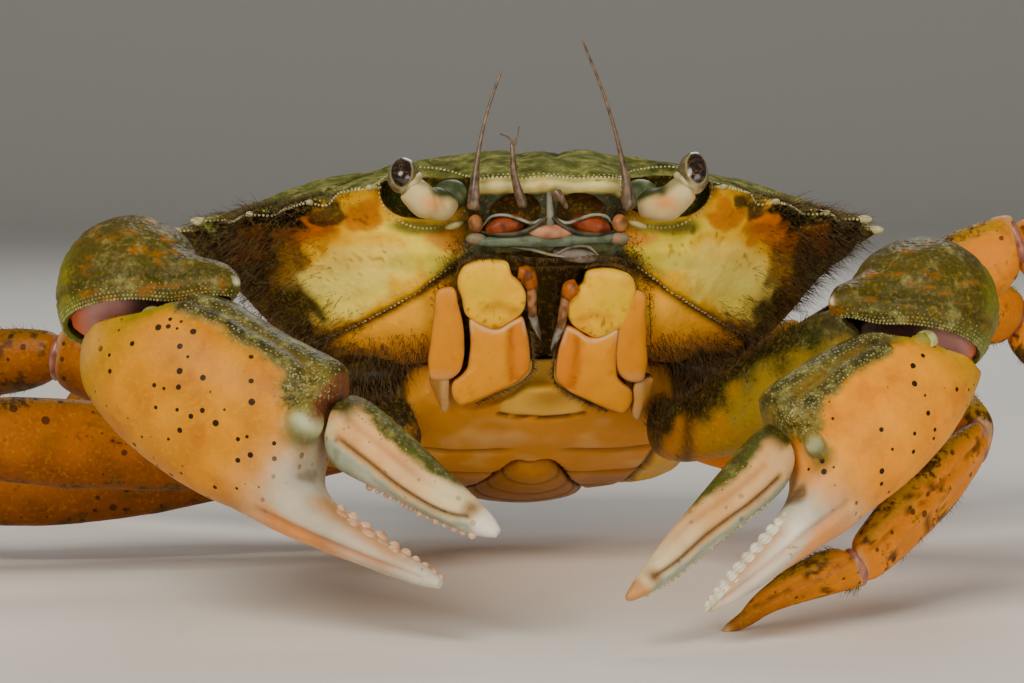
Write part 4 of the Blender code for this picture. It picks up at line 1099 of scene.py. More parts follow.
face = {
    # each a tube along its line or a ball about its place, in one colour with blotches of a second
    "paired": {
        "antennuleBase": {
            "at": (4.1, -19.5, -4.25), "size": (2.0, 0.9, 0.95), "turn": 14,
            "colours": ("#8A3C1A", "#32140A"),
        },
        "antennuleLid": {
            "line": ((6.3, -19.4, -4.3), (5.6, -20.2, -3.6), (4.3, -20.6, -3.5), (2.9, -20.6, -3.9),
                     (1.6, -20.6, -4.3), (0.7, -20.6, -3.9)),
            "radii": (0.06, 0.13, 0.14, 0.15, 0.16, 0.1), "flat": 0.8, "colours": ("#8E8E80", "#4A4A3A"),
        },
        "antennuleFloor": {
            "line": ((6.6, -19.0, -4.7), (5.0, -19.8, -5.2), (3.0, -20.2, -5.2), (1.5, -20.5, -4.7),
                     (0.3, -20.8, -3.8)),
            "radii": (0.1, 0.2, 0.24, 0.24, 0.2), "flat": 0.8, "colours": ("#4A4430", "#26221A"),
        },
        "antennaBase": {
            "at": (6.95, -19.2, -4.0), "size": (0.75, 0.6, 0.9),
            "colours": ("#A86C3C", "#4A3018"),
        },
        "antennaFoot": {
            "at": (6.9, -18.7, -5.4), "size": (1.0, 0.7, 0.6),
            "colours": ("#80765C", "#A8705C"),
        },
        "socketLobe": {
            "at": (8.9, -17.8, -3.8), "size": (0.95, 0.5, 0.36), "turn": 18,
            "colours": ("#C4B874", "#7A7440"),
        },
    },
    "middle": {
        "septum": {
            "line": ((0.0, -21.2, -1.4), (0.05, -20.9, -2.4), (0.1, -20.7, -3.3), (0.1, -20.3, -4.1),
                     (0.1, -19.7, -4.9)),
            "radii": (0.25, 0.3, 0.36, 0.45, 0.5), "colours": ("#868674", "#646650"),
        },
        "epistomeLedge": {
            "line": ((-7.4, -18.5, -5.6), (-5.6, -19.0, -5.75), (-3.6, -19.3, -5.75), (-1.8, -19.5, -5.8),
                     (0.0, -19.5, -5.9), (1.8, -19.5, -5.75), (3.6, -19.3, -5.5), (5.6, -19.0, -5.4),
                     (7.2, -18.5, -5.2)),
            "radii": (0.3, 0.5, 0.55, 0.6, 0.5, 0.6, 0.55, 0.5, 0.3), "colours": ("#66745E", "#3E4632"),
        },
        "epistome": {"at": (0.2, -19.95, -5.0), "size": (2.2, 0.7, 0.72), "colours": ("#C08A68", "#96583A")},
        "mouthMembrane_0": {
            "line": ((-3.6, -18.7, -6.2), (-1.8, -19.0, -6.5), (0.2, -18.9, -7.0), (2.4, -18.6, -7.3)),
            "radii": (0.06, 0.14, 0.16, 0.05), "sides": 10, "flat": 0.6, "colours": ("#8A846C", "#5C503A"),
        },
        "mouthMembrane_1": {
            "line": ((0.6, -18.8, -7.0), (2.2, -19.2, -6.3), (3.9, -19.0, -6.3), (5.0, -18.4, -7.1)),
            "radii": (0.06, 0.14, 0.16, 0.05), "sides": 10, "flat": 0.6, "colours": ("#8A846C", "#5C503A"),
        },
        "mouthVeil": {
            "at": (2.6, -18.4, -6.9), "size": (2.2, 0.5, 0.75), "turn": 10,
            "colours": ("#7E746A", "#5A4C3C"),
        },
    },
}


def addTinted(name, mesh, code, mottle, finish=plateShell, grain=0.0, slot="shell_orange"):
    # a small piece in one colour with blotches of a second
    points = readPoints(mesh)
    tint = plain(len(points), code)
    lay(tint, mottle, step(roughly(points, 0.8, 2.0), -0.05, 0.45) * 0.75)
    addPiece(name, mesh, finish, slot, (), tint, grain=grain)


def bodyTube(line, radii, sides, flat):
    # a tube through places given in the body's own directions
    rows = smoothThrough(line, 5)
    sizes = np.interp(np.linspace(0, 1, len(rows)), np.linspace(0, 1, len(radii)), radii)
    return tube([onBody(*row) for row in rows], sizes, sides, flat)


def bodyBall(centre, size, turn=0.0):
    shape = bmesh.new()
    bmesh.ops.create_uvsphere(shape, u_segments=28, v_segments=18, radius=1.0)
    bmesh.ops.scale(shape, vec=size, verts=shape.verts)
    bmesh.ops.rotate(shape, matrix=Matrix.Rotation(math.radians(turn), 3, "Y"), verts=shape.verts)
    for vertex in shape.verts:
        vertex.co = onBody(*(vertex.co + Vector(centre)))
    return shape


def makeFacePiece(name, form, side=1):
    if "line" in form:
        line = [(side * x, y, z) for x, y, z in form["line"]]
        shape = bodyTube(line, form["radii"], form.get("sides", 12), form.get("flat", 1.0))
    else:
        x, y, z = form["at"]
        shape = bodyBall((side * x, y, z), form["size"], side * form.get("turn", 0.0))
    addTinted(name, toMesh(name, shape), *form["colours"])


def makeFace():
    for side, label in sides:
        for name, form in face["paired"].items():
            makeFacePiece(f"{name}_{label}", form, side)
    for name, form in face["middle"].items():
        makeFacePiece(name, form)


limbRoot = {
    "at": (18.0, -2.8, -16.4), "size": (8.0, 5.5, 2.8), "turn": 8, "hairs": 1500,
    "order": (1.0, 0.37, 0.11),  # the direction that its faces are counted in
}


def makeLimbRootSkinAndShade():
    # dark hairy skin where the limbs go in under the shell; its near-black colour is also painted shade
    for side, label in sides:
        x, y, z = limbRoot["at"]
        ball = bodyBall((side * x, y, z), limbRoot["size"], side * limbRoot["turn"])
        # a sphere's faces come in any order, and its hairs would move from run to run
        ball.faces.sort(key=lambda face: face.calc_center_median().dot(limbRoot["order"]))
        skin = toMesh("limbRootSkinAndShade", ball)
        points = readPoints(skin)
        spots, normals, _ = sampled(skin, (bodyCoords(points)[:, 1] < -4) * 1.0, limbRoot["hairs"])
        lies = normals * 0.6 + (0.0, -0.5, -0.6)
        grow("undersideSetae", spots, lies, 1.9, aroundBody(bodyCoords(spots)))
        addTinted(f"limbRootSkinAndShade_{label}", skin, "#2A1E0A", "#4A3A14")


makeFace()
makeLimbRootSkinAndShade()
print("mouth ready")


claws = {
    # along the claw from its wrist, up it and out of it: the two rows of beads and the heel as (along, up),
    # the heel's knob and the finger's hinge boss as (along, up, out), then how far its colours reach
    "R": {
        "wrist": inBox("claw_R_palm", 0.059, 0.789, 0.797),
        "tip": inBox("claw_R_palm", 0.9904, 0.0337, 0.0097),
        "crest": ((6.4, 8.6), (9.0, 9.6), (12, 9.9), (16, 10.3), (20.8, 10.6)),
        "rib": ((6.6, 7.6), (9.5, 8.3), (12.1, 8.4), (15, 8.6), (18.4, 8.5)),
        "heel": ((-1.5, -1.6), (-0.2, 1.9), (1.9, 3.9), (3.2, 5.0), (4.4, 6.3), (5.8, 8.4), (8.0, 12.0)),
        "knob": (3.9, 5.6, 2.9), "knobSize": 1.0,
        "boss": (21.5, 5.3, 3.4), "bossSize": 1.6, "paleFrom": 22.0, "greenTo": 21.4,
        "fixedGroove": ((22, -3.6), (24.2, -3.1), (27.2, -2.6), (33.3, -1.25), (37, -0.3)),
        "fingerGroove": ((24.2, 5.7), (28.2, 5.4), (32.4, 5.05), (36.7, 5.75), (37.6, 6.3)),
        "teeth": ((25.4, 0.2, 0.6), (26.5, 0.2, 0.8), (27.8, 0.15, 1.0), (29.3, 0.05, 1.15),
                  (30.9, 0.1, 1.2), (32.4, 0.2, 0.95), (33.6, 0.3, 0.9), (34.7, 0.35, 0.75),
                  (35.7, 0.4, 0.7), (36.6, 0.45, 0.6), (37.4, 0.45, 0.5)),
        "lowTeeth": (28.5, 38.5, 13, 0.34),  # where they begin and end, how many, and their size
        # the right palm's orange is deeper than the left's: painted shade, as on the right legs
        "tipColour": "#E9E4D4", "palmColours": ("#CC8200", "#DC9000", "#B86800"),
        "dome": inBox("claw_R_wrist", 0.432, 0.5, 0.405), "domeSize": (6.9, 7.2, 7.3),
        "spine": (10.1, -6.5, 1.6), "spineTaper": 6.5,
        "rimAt": (-6.1, -3.0, -2.2), "rimFacing": (0.05, -0.42, -0.9),
    },
    "L": {
        "wrist": inBox("claw_L_palm", 0.8602, 0.7800, 0.9421),
        "tip": inBox("claw_L_palm", 0.0112, 0.0177, 0.0084),
        "crest": ((4.6, 4.4), (7.2, 5.9), (10.6, 7.0), (14.2, 8.0), (17.8, 8.5)),
        "rib": ((6.6, 3.8), (8.6, 4.4), (10.5, 5.0), (13.1, 5.2), (15.8, 5.6)),
        "heel": ((-0.6, -5.6), (0.6, -3.9), (1.0, -2.4), (2.0, -0.8), (2.9, 1.0), (4.0, 3.0), (5.4, 5.0),
                 (8.0, 10.0)),
        "knob": (2.9, 1.9, 2.4), "knobSize": 0.95,
        "boss": (18.9, 3.1, 3.0), "bossSize": 1.35, "paleFrom": 21.0, "greenTo": 19.2,
        "fixedGroove": ((20, -2.9), (24.4, -1.9), (29, -1.2), (34, -0.4)),
        "fingerGroove": ((22.5, 3.0), (25.6, 3.3), (28.4, 3.9), (31.4, 4.5), (35, 4.9), (36.9, 5.4)),
        "teeth": ((24.3, 0.2, 0.5), (25.2, 0.25, 0.65), (26.2, 0.25, 0.75), (27.3, 0.2, 0.8),
                  (28.5, 0.2, 0.8), (29.7, 0.25, 0.8), (30.9, 0.3, 0.75), (32.0, 0.35, 0.7),
                  (33.0, 0.4, 0.6), (33.9, 0.4, 0.55), (34.7, 0.4, 0.45), (35.4, 0.4, 0.35)),
        "lowTeeth": (24.5, 38.5, 22, 0.22),
        "tipColour": "#CE9258", "palmColours": ("#F09400", "#FAA400", "#D87800"),
        "dome": inBox("claw_L_wrist", 0.545, 0.5, 0.456), "domeSize": (7.0, 6.8, 6.8),
        "spine": (-8.9, -5.4, 1.2), "spineTaper": 6.5,
        "rimAt": (5.8, -2.4, -4.2), "rimFacing": (-0.16, -0.42, -0.89),
    },
}


def clawAxes(claw):
    # along the claw, up it, and out of it to the crab's front
    along = (claw["tip"] - claw["wrist"]).normalized()
    up = along.cross(Vector((0, 1, 0))).normalized()
    up *= math.copysign(1, up.z)
    out = along.cross(up)
    return along, up, out * math.copysign(1, -out.y)


def clawCoords(claw, points):
    axes = np.array([tuple(axis) for axis in clawAxes(claw)])
    return (points - np.array(claw["wrist"])) @ axes.T


def onClaw(claw, a, u, o):
    along, up, out = clawAxes(claw)
    return claw["wrist"] + along * a + up * u + out * o


def drawInHeel(claw, mesh):
    # the CAD palm's heel shrinks to the neck that turns under the wrist's rim
    along, up, _ = (np.array(axis) for axis in clawAxes(claw))
    points = readPoints(mesh)
    a, u, _ = clawCoords(claw, points).T
    above = u - heightOn(claw["heel"], a)
    near = step(-a, -9.0, -6.5)
    neck = step(above, -0.2, 0.5) * near
    points -= up * (np.clip(above, 0, 9) * 0.78 * near)[:, None]
    points += along * (np.clip(claw["heel"][0][0] - 0.2 - a, 0, 9) * 0.93)[:, None]
    points += (np.array(onClaw(claw, 5.0, 0.0, 0.0)) - points) * (neck * 0.4)[:, None]
    writePoints(mesh, points)
    return points, above, near, neck


def makePalm(claw, label):
    # the orange palm with its green top and its pale fixed finger
    mesh = finerCopy(f"claw_{label}_palm", 4, 0.25)
    points, above, near, neck = drawInHeel(claw, mesh)
    normals, local = readNormals(mesh), clawCoords(claw, points)
    a, u, o = local.T
    side = local[:, :2]
    crest = fromLine(side, smoothThrough(claw["crest"], 6))
    rib = fromLine(side, smoothThrough(claw["rib"], 6))
    groove = fromLine(side, claw["fixedGroove"])
    n1, n2 = roughly(points, 3.0, 2.0), roughly(points, 1.0, 6.0)
    out = step(o, 0.3, 1.5)
    boss = patch(local, claw["boss"], (claw["bossSize"],) * 3)
    knob = patch(local, claw["knob"], (claw["knobSize"],) * 3)
    # two ridges along the top, the groove of the fixed finger, the boss over the hinge and the heel's knob
    between = valley(np.abs(crest - rib), 0.5) * step(-crest, -2.2, -1.2)
    move = 0.22 * valley(crest, 0.55) + 0.25 * valley(rib, 0.5) * out - 0.15 * between * out
    move += 0.55 * step(boss, 0.0, 0.5) - 0.3 * valley(groove, 0.45) * step(np.abs(o), 0.4, 1.2)
    move += 0.9 * knob**0.7 + 0.07 * n1 + 0.02 * n2
    hinge = np.array(claw["boss"])[:2]
    ring = np.hypot(a - hinge[0] - 0.2, u - hinge[1] - 0.1)
    move -= 0.35 * valley(ring - 1.9, 0.35) * out * step(u - hinge[1], -1.6, -0.4)
    pushOut(mesh, points, normals, move)

    # orange palm, its heel and its lower edge
    tint = plain(len(points), claw["palmColours"][0])
    lay(tint, claw["palmColours"][1], step(n1, -0.1, 0.6) * 0.7)
    lay(tint, claw["palmColours"][2], step(-n1 + 0.5 * n2, 0.1, 0.6) * 0.6)
    lay(tint, "#B08C00", step(-a + 0.8 * n1, -6.5, -1.5) * 0.6)
    lay(tint, "#6E7A10", valley(above + 0.6, 0.9) * near * step(a, 1.5, 3.0) * 0.7)
    lay(tint, "#DCA050", patch(local, (0.4, 0.0, 3), (2.2, 2.2, 4)) * 0.8)
    # the pale fixed finger
    fade = a + 0.8 * n1 + 0.4 * n2 - 0.25 * u
    pale = step(fade, claw["paleFrom"] - 2.0, claw["paleFrom"] + 2.6)
    lay(tint, "#DDA468", step(fade, claw["paleFrom"] - 4.5, claw["paleFrom"]) * 0.6)
    lay(tint, "#C2B7A0", pale)
    lay(tint, "#A5AFA0", pale * step(u, -1.0, 1.5) * step(-a, -30, -24) * 0.7)
    if label == "L":
        lay(tint, "#E8E0CC", pale * step(u + 0.3 * n1, -2.4, -0.9) * step(a, 22.0, 25.0))
    lay(tint, "#E89A50", pale * step(-u - 0.3 * n1, 1.9, 3.0) * step(-a, -41, -36) * 0.95)
    crotch = patch(local, (claw["paleFrom"] + 1.2, claw["teeth"][0][1] + 0.9, 1.0), (1.3, 1.0, 2.6))
    lay(tint, "#5A4020", step(crotch + 0.25 * n2, 0.1, 0.7) * 0.85)
    lay(tint, "#C07038", valley(groove, 0.4) * step(a, 20, 24) * (0.7 if label == "R" else 0.4))
    gums = valley(u - 0.2, 0.7) * step(a, 24.5, 26.5) * step(-a, -38, -35)
    lay(tint, "#C88A4C", gums * step(o, -1.0, 0.2) * 0.75)
    lay(tint, "#D9D6C2", pale * step(a, 33, 37) * 0.7)
    # the hinge boss, with a painted highlight on its top and painted shade below it, then the green top
    # between the ridges
    bossAt = np.array(claw["boss"])
    lay(tint, "#7C8658", step(patch(local, bossAt, (claw["bossSize"] * 1.5,) * 3) + 0.2 * n2, 0.1, 0.7) * 0.8)
    lay(tint, "#A8AC80", step(boss, 0.12, 0.5))
    # painted shade under the boss
    lay(tint, "#3E4A18", patch(local, bossAt + (0.1, -1.5, 0.0), (1.5, 1.2, 2)) * 0.9)
    # painted highlight on the boss's top
    lay(tint, "#D8D8B4", patch(local, bossAt + (0.3, 0.4, 0.2), (0.9, 0.9, 1.8)) * 0.9)
    green = step(u - heightOn(claw["rib"], a) + 0.7 * n1 + 0.4 * n2, -1.3, 0.1)
    green *= step(-a, -claw["greenTo"] - 1.0, -claw["greenTo"]) * step(a, 1.5, 4.0)
    corner = patch(local, bossAt + (-1.2, 2.6, 0), (3.4, 3.2, 5))
    green = np.maximum(green, step(corner + 0.25 * n1 + 0.2 * n2, 0.25, 0.6))
    lay(tint, "#7C7430", green * 0.9)
    lay(tint, "#7E5A12", between * green * 0.8)
    lay(tint, "#2A3210", np.maximum(valley(crest, 0.8), valley(rib, 0.7)) * green)
    ends = step(normals @ np.array(clawAxes(claw)[0]), 0.5, 0.8) * step(a, 18.0, 19.5)
    ends *= step(u, hinge[1], hinge[1] + 1.5)
    lay(tint, "#7A4A30", ends)
    lay(tint, "#C89070", neck)
    lay(tint, "#8C9440", knob * 1.4)
    lay(tint, "#C9C674", patch(local, np.array(claw["knob"]) + (0, 0.4, 0.4), (0.7, 0.7, 0.9)))
    moss = np.maximum(np.maximum(valley(crest, 1.0), valley(rib, 0.9) * out) * green * 0.8, green * 0.46)
    moss = np.maximum(moss, step(corner, 0.2, 0.8) * 0.6)
    moss *= (1 - neck) * (1 - ends) * (1 - np.clip(boss * 2, 0, 1))
    pits = (1 - green) * step(a, 1, 3) * (1 - pale) * step(-boss, -0.05, 0.0)
    surface = surfaceOf(mesh)
    addPiece(f"clawPalm_{label}", mesh, clawShell, "shell_orange", [f"claw_{label}_palm"], tint,
             moss=moss, grain=green + 0.1, pits=pits)
    return surface


def makeFinger(claw, label):
    mesh = finerCopy(f"claw_{label}_finger", 4, 0.15)
    points, normals = readPoints(mesh), readNormals(mesh)
    local = clawCoords(claw, points)
    a, u, o = local.T
    line = smoothThrough(claw["fingerGroove"], 6)
    groove = fromLine(local[:, :2], line)
    height = heightOn(line, a)
    upper = fromLine(local[:, :2], line + np.array((0.4, 1.9)))
    n1, n2 = roughly(points, 2.4, 3.0), roughly(points, 0.9, 8.0)
    face = step(np.abs(o), 0.35, 1.0)
    start, tipAt = a.min(), a.max()
    topEdge = step(u - height + 0.25 * n2 - 0.5 * step(-a, -start - 6, -start - 2), 2.3, 3.1)
    base = step(-a, -start - 3.2, -start - 1.2)
    move = 0.04 * n1 - (0.38 * valley(groove, 0.36) + 0.10 * valley(upper, 0.4)) * face * (1 - base)
    pushOut(mesh, points, normals, move)
    # orange buff below its groove, grey green above it, a dark mark before the tip
    tint = plain(len(points), "#DDA868")
    lay(tint, "#E6BE86", step(n1, -0.1, 0.5) * 0.6)
    lay(tint, "#E2D2A6", step(a + n1, 30, 36) * 0.8)
    lay(tint, "#9CA690", step(height - u + 0.2 * n2, 0.1, 0.7))
    lay(tint, "#D0D4C6", step(height - u + 0.2 * n2, 0.7, 1.3) * step(a, 26, 30) * 0.9)
    lay(tint, "#6E6A3C", step(n2, 0.25, 0.5) * step(height - u, 0.1, 0.6) * step(-a, -30, -24) * 0.5)
    lay(tint, "#B8703A", valley(upper, 0.35) * step(-a, -36, -30) * 0.5)
    lay(tint, "#4A3014", valley(groove, 0.26) * face * 0.85 * (1 - base))
    lay(tint, "#4E5A18", topEdge)
    lay(tint, "#3E3A12", base * step(u - height + 0.6 * n2, 1.0, 2.0))
    lay(tint, "#D8CE9A", patch(local, (start + 0.9, height[a.argmin()] + 0.2, 2.4), (1.2, 0.9, 2.0)))
    lay(tint, "#6E4A1C", patch(local, (tipAt - 2.9, 7.0 if label == "R" else 5.6, 0.8), (0.8, 0.9, 2)) * 0.9)
    lay(tint, claw["tipColour"], step(a, tipAt - 2.4, tipAt - 1.4))
    moss = topEdge * step(-a, -tipAt + 3, -tipAt + 6) * 0.55
    surface = surfaceOf(mesh)
    addPiece(f"clawFinger_{label}", mesh, clawShell, "shell_pale", [f"claw_{label}_finger"], tint,
             moss=np.maximum(moss, base * 0.35), grain=topEdge + 0.1, pits=0.35)
    return surface


def makeClawTeeth(claw, label, finger):
    # the biting edges of both fingers
    shape = bmesh.new()
    _, up, _ = clawAxes(claw)
    for a, u, size in claw["teeth"]:
        if label == "L":  # blunt cutting teeth, narrower towards their tips
            for rise, share in ((-0.5, 1.35), (-0.1, 1.2), (0.25, 0.9), (0.5, 0.6)):
                place = onClaw(claw, a - 0.25 * rise, u + rise * size, 0.4)
                addBall(shape, place, (size * share, size * share, size * 0.45), up)
        else:  # round crushing teeth, with a smaller row behind them
            addBall(shape, onClaw(claw, a, u - 0.35, 0.6), (size, size * 0.935, size * 0.75), up)
            addBall(shape, onClaw(claw, a + 0.6, u + 0.1, -0.6), (size * 0.6,) * 3, up)
    upper, lower = (beadClaw, beadClaw) if label == "R" else (beadEnamel, beadPale)
    addPiece(f"fixedFingerTeeth_{label}", toMesh("teeth", shape), upper, "shell_pale")
    beads = []
    first, last, count, size = claw["lowTeeth"]
    for a in np.linspace(first, last, count):
        found = finger.ray_cast(onClaw(claw, a, -3.0, 0.15), up)[0]
        if found is not None:
            beads.append((found, up, size * random.uniform(0.8, 1.25)))
    addPiece(f"movingFingerTeeth_{label}", granules(beads, 1.1), lower, "shell_pale")


def makeClawBeads(claw, label, palm, finger):
    # granules along the ridges, over the hinge's corner and on the finger's top edge
    beads = []
    _, _, out = clawAxes(claw)

    def dropAt(surface, a, u, size):
        found, normal, _, _ = surface.ray_cast(onClaw(claw, a, u, 7.0), -out)
        if found is not None and normal.dot(out) > 0.05:
            grown = size * random.uniform(0.75, 1.25)
            beads.append((found - normal * grown * 0.3, normal, grown))

    for ridge, lifts in (("crest", (-0.6, -0.2, 0.2)), ("rib", (-0.7, -0.3, 0.1, 0.5))):
        for lift in lifts:
            for a, u in evenly(smoothThrough(claw[ridge], 6), 0.36):
                dropAt(palm, a + random.uniform(-0.15, 0.15), u + lift + random.uniform(-0.12, 0.12), 0.10)
    a, u, _ = claw["boss"]
    for _ in range(200):
        dropAt(palm, a - 1.4 + random.gauss(0, 1.2), u + 2.6 + random.gauss(0, 1.1), 0.09)
    for a, u in evenly(smoothThrough([(a, u + 2.6) for a, u in claw["fingerGroove"][:-1]], 6), 0.42):
        dropAt(finger, a, u + random.uniform(-0.1, 0.5), 0.09)
    addPiece(f"clawGranules_{label}", granules(beads), beadOlive, "shell_pale")


def makeHeelKnob(claw, label):
    # the pale round hinge of the palm under the wrist's rim
    a, u, o = claw["knob"]
    shape = bmesh.new()
    addBall(shape, onClaw(claw, a, u - 0.6, o - 0.5), (1.15, 1.0, 1.05), clawAxes(claw)[0])
    addTinted(f"heelKnob_{label}", toMesh("heelKnob", shape), "#BDBB78", "#7C843C", clawShell, grain=0.5)


for label, claw in claws.items():
    palm = makePalm(claw, label)
    makeHeelKnob(claw, label)
    finger = makeFinger(claw, label)
    makeClawTeeth(claw, label, finger)
    makeClawBeads(claw, label, palm, finger)
print("claw fingers ready")


def wristFields(points, rim, facing, spineTip):
    # height over the rim, distance from the spine's tip, and three sizes of noise
    fromRim = (points - np.array(rim)) @ -np.array(facing)
    away = np.linalg.norm(points - np.array(spineTip), axis=1)
    n1, n2 = roughly(points, 2.2, 5.0), roughly(points, 0.8, 2.0)
    return fromRim, away, n1, n2, roughly(points * np.array((0.35, 0.35, 1.6)), 0.8, 4.0)


def makeWrist(label):
    # a dome drawn out to a spine, open below where the palm's heel turns in its joint skin
    claw = claws[label]
    centre, size, spine = claw["dome"], claw["domeSize"], Vector(claw["spine"])
    shape = bmesh.new()
    bmesh.ops.create_uvsphere(shape, u_segments=160, v_segments=100, radius=1.0)
    towards, length = spine.normalized(), spine.length
    for vertex in shape.verts:
        way = vertex.co.normalized()
        plainReach = Vector((way.x * size[0], way.y * size[1], way.z * size[2]))
        share = min(1.0, max(0.0, (way.dot(towards) - 0.72) / 0.28))
        vertex.co = centre + plainReach.lerp(way * length, share**claw["spineTaper"])
    rim, facing = centre + Vector(claw["rimAt"]), Vector(claw["rimFacing"]).normalized()
    everything = [*shape.verts, *shape.edges, *shape.faces]
    bmesh.ops.bisect_plane(shape, geom=everything, plane_co=rim, plane_no=facing, clear_outer=True)
    edge = [vertex.co.copy() for vertex in shape.verts if vertex.is_boundary]
    mesh = toMesh("wrist", shape)
    surface = surfaceOf(mesh)
    points, normals = readPoints(mesh), readNormals(mesh)
    fromRim, away, n1, n2, streaks = wristFields(points, rim, facing, centre + spine)
    groove = valley(fromRim - 2.2 - 0.3 * n1, 0.45) * step(away, 3.0, 6.0)
    move = (0.12 * n1 + 0.06 * n2 + 0.07 * streaks) * step(fromRim, 0.2, 1.2) - 0.22 * groove
    pushOut(mesh, points, normals, move)
    mesh = applied(mesh, ("SOLIDIFY", {"thickness": 0.5, "offset": -1.0}))
    points = readPoints(mesh)
    fromRim, away, n1, _, streaks = wristFields(points, rim, facing, centre + spine)
    outer = (points[:, 0] - centre.x) * (-1 if label == "R" else 1)
    tint = plain(len(points), "#524A14")
    lay(tint, "#9A5E08", step(n1 + 0.7 * streaks, 0.15, 0.5) * 0.85)
    lay(tint, "#7C7E14", step(outer + 0.6 * n1, 4.2, 6.2) * 0.8)
    lay(tint, "#6E8018", step(-fromRim, -1.4, -0.3) * step(outer, 2.0, 5.0) * 0.8)
    lay(tint, "#34340E", valley(fromRim - 2.2 - 0.3 * n1, 0.5) * 0.6)
    lay(tint, "#E4DFB8", step(-away, -0.55, -0.25))
    moss = 0.42 + 0.3 * n1 - 0.2 * step(outer, 4.0, 6.5)
    addPiece(f"clawWrist_{label}", mesh, clawShell, "shell_green", [f"claw_{label}_wrist"], tint,
             moss=moss * step(away, 1.2, 2.2), grain=1.0)
    makeWristBeads(claw, label, surface, edge, facing)
    makeMembrane(claw, label, rim, facing)


# rows of granules over the wrist's rim: how far up it, how far apart and how large
rimRows = ((0.05, 0.32, 0.13), (0.4, 0.36, 0.12), (0.75, 0.4, 0.11), (1.15, 0.5, 0.09), (1.6, 0.8, 0.08))


def makeWristBeads(claw, label, surface, edge, facing):
    # rows of pale granules along the dome's rim
    middle = sum(edge, Vector()) / len(edge)
    order = sorted(edge, key=lambda place: math.atan2(*frameAngles(place - middle, facing)))
    beads = []
    for lift, every, size in rimRows:
        for point in evenly(np.array([*order, order[0]]), every):
            raised = Vector(point) - facing * lift
            if raised.y > claw["dome"].y + 1.0:
                continue
            found, normal, _, _ = surface.find_nearest(raised)
            grown = size * random.uniform(0.75, 1.2)
            beads.append((found - normal * grown * 0.25, normal, grown))
    addPiece(f"wristGranules_{label}", granules(beads), beadOlive, "shell_pale")


def frameAngles(place, facing):
    _, up, side = frameAlong(facing, (0, 1, 0.1))
    return place.dot(up), place.dot(side)


def makeMembrane(claw, label, rim, facing):
    # the soft skin between the wrist's rim and the palm's heel
    centre, size = claw["dome"], claw["domeSize"]
    depth = (rim - centre).dot(facing)
    shape = bmesh.new()
    bmesh.ops.create_uvsphere(shape, u_segments=48, v_segments=30, radius=1.0)
    bmesh.ops.scale(shape, vec=(size[0] * 0.82, size[1] * 0.82, 1.6), verts=shape.verts)
    turn = Vector((0, 0, -1)).rotation_difference(facing).to_matrix()
    bmesh.ops.rotate(shape, matrix=turn, verts=shape.verts)
    bmesh.ops.translate(shape, vec=centre + facing * (depth - 0.9), verts=shape.verts)
    mesh = toMesh("membrane", shape)
    points, normals = readPoints(mesh), readNormals(mesh)
    folds = np.sin((points @ np.array(facing)) * 5 + roughly(points, 2.0, 3.0) * 3)
    pushOut(mesh, points, normals, 0.10 * folds)
    outer = (points[:, 0] - centre.x) * (-1 if label == "R" else 1)
    tint = plain(len(points), "#C4908A")
    lay(tint, "#D09A8C", step(roughly(points, 1.5, 2.0), 0.0, 0.5) * 0.5)
    lay(tint, "#E0640E", step(outer, 2.8, 4.8) * 0.85)
    lay(tint, "#241509", step(-outer, -1.0, 1.5) * 0.9)
    addPiece(f"wristMembrane_{label}", mesh, plateShell, "shell_pale", (), tint)


def limbCoords(points, inward):
    # along from the body outwards, up and across, each from a piece's own middle, 0 to 1 along, and the axis
    centre = points.mean(axis=0)
    _, _, axes = np.linalg.svd(points - centre, full_matrices=False)
    along = axes[0] if (centre - inward) @ axes[0] > 0 else -axes[0]
    up = np.array((0, 0, 1.0)) - along * along[2]
    up /= np.linalg.norm(up)
    local = (points - centre) @ np.stack([along, up, np.cross(along, up)]).T
    share = (local[:, 0] - local[:, 0].min()) / np.ptp(local[:, 0])
    return local, share, along


def limbUnwrap(spots, points, along):
    # an unwrap of a limb's skin: the share along it and the angle around it
    place = spots - points.mean(axis=0)
    other = np.cross(along, (0, 0, 1.0))
    other /= np.linalg.norm(other)
    turn = np.arctan2(place @ np.cross(other, along), place @ other)
    share = np.clip(0.5 + place @ along / 60, 0.05, 0.93)
    return np.stack([share, 0.04 + 0.9 * (turn / (2 * math.pi) + 0.5)], axis=1)


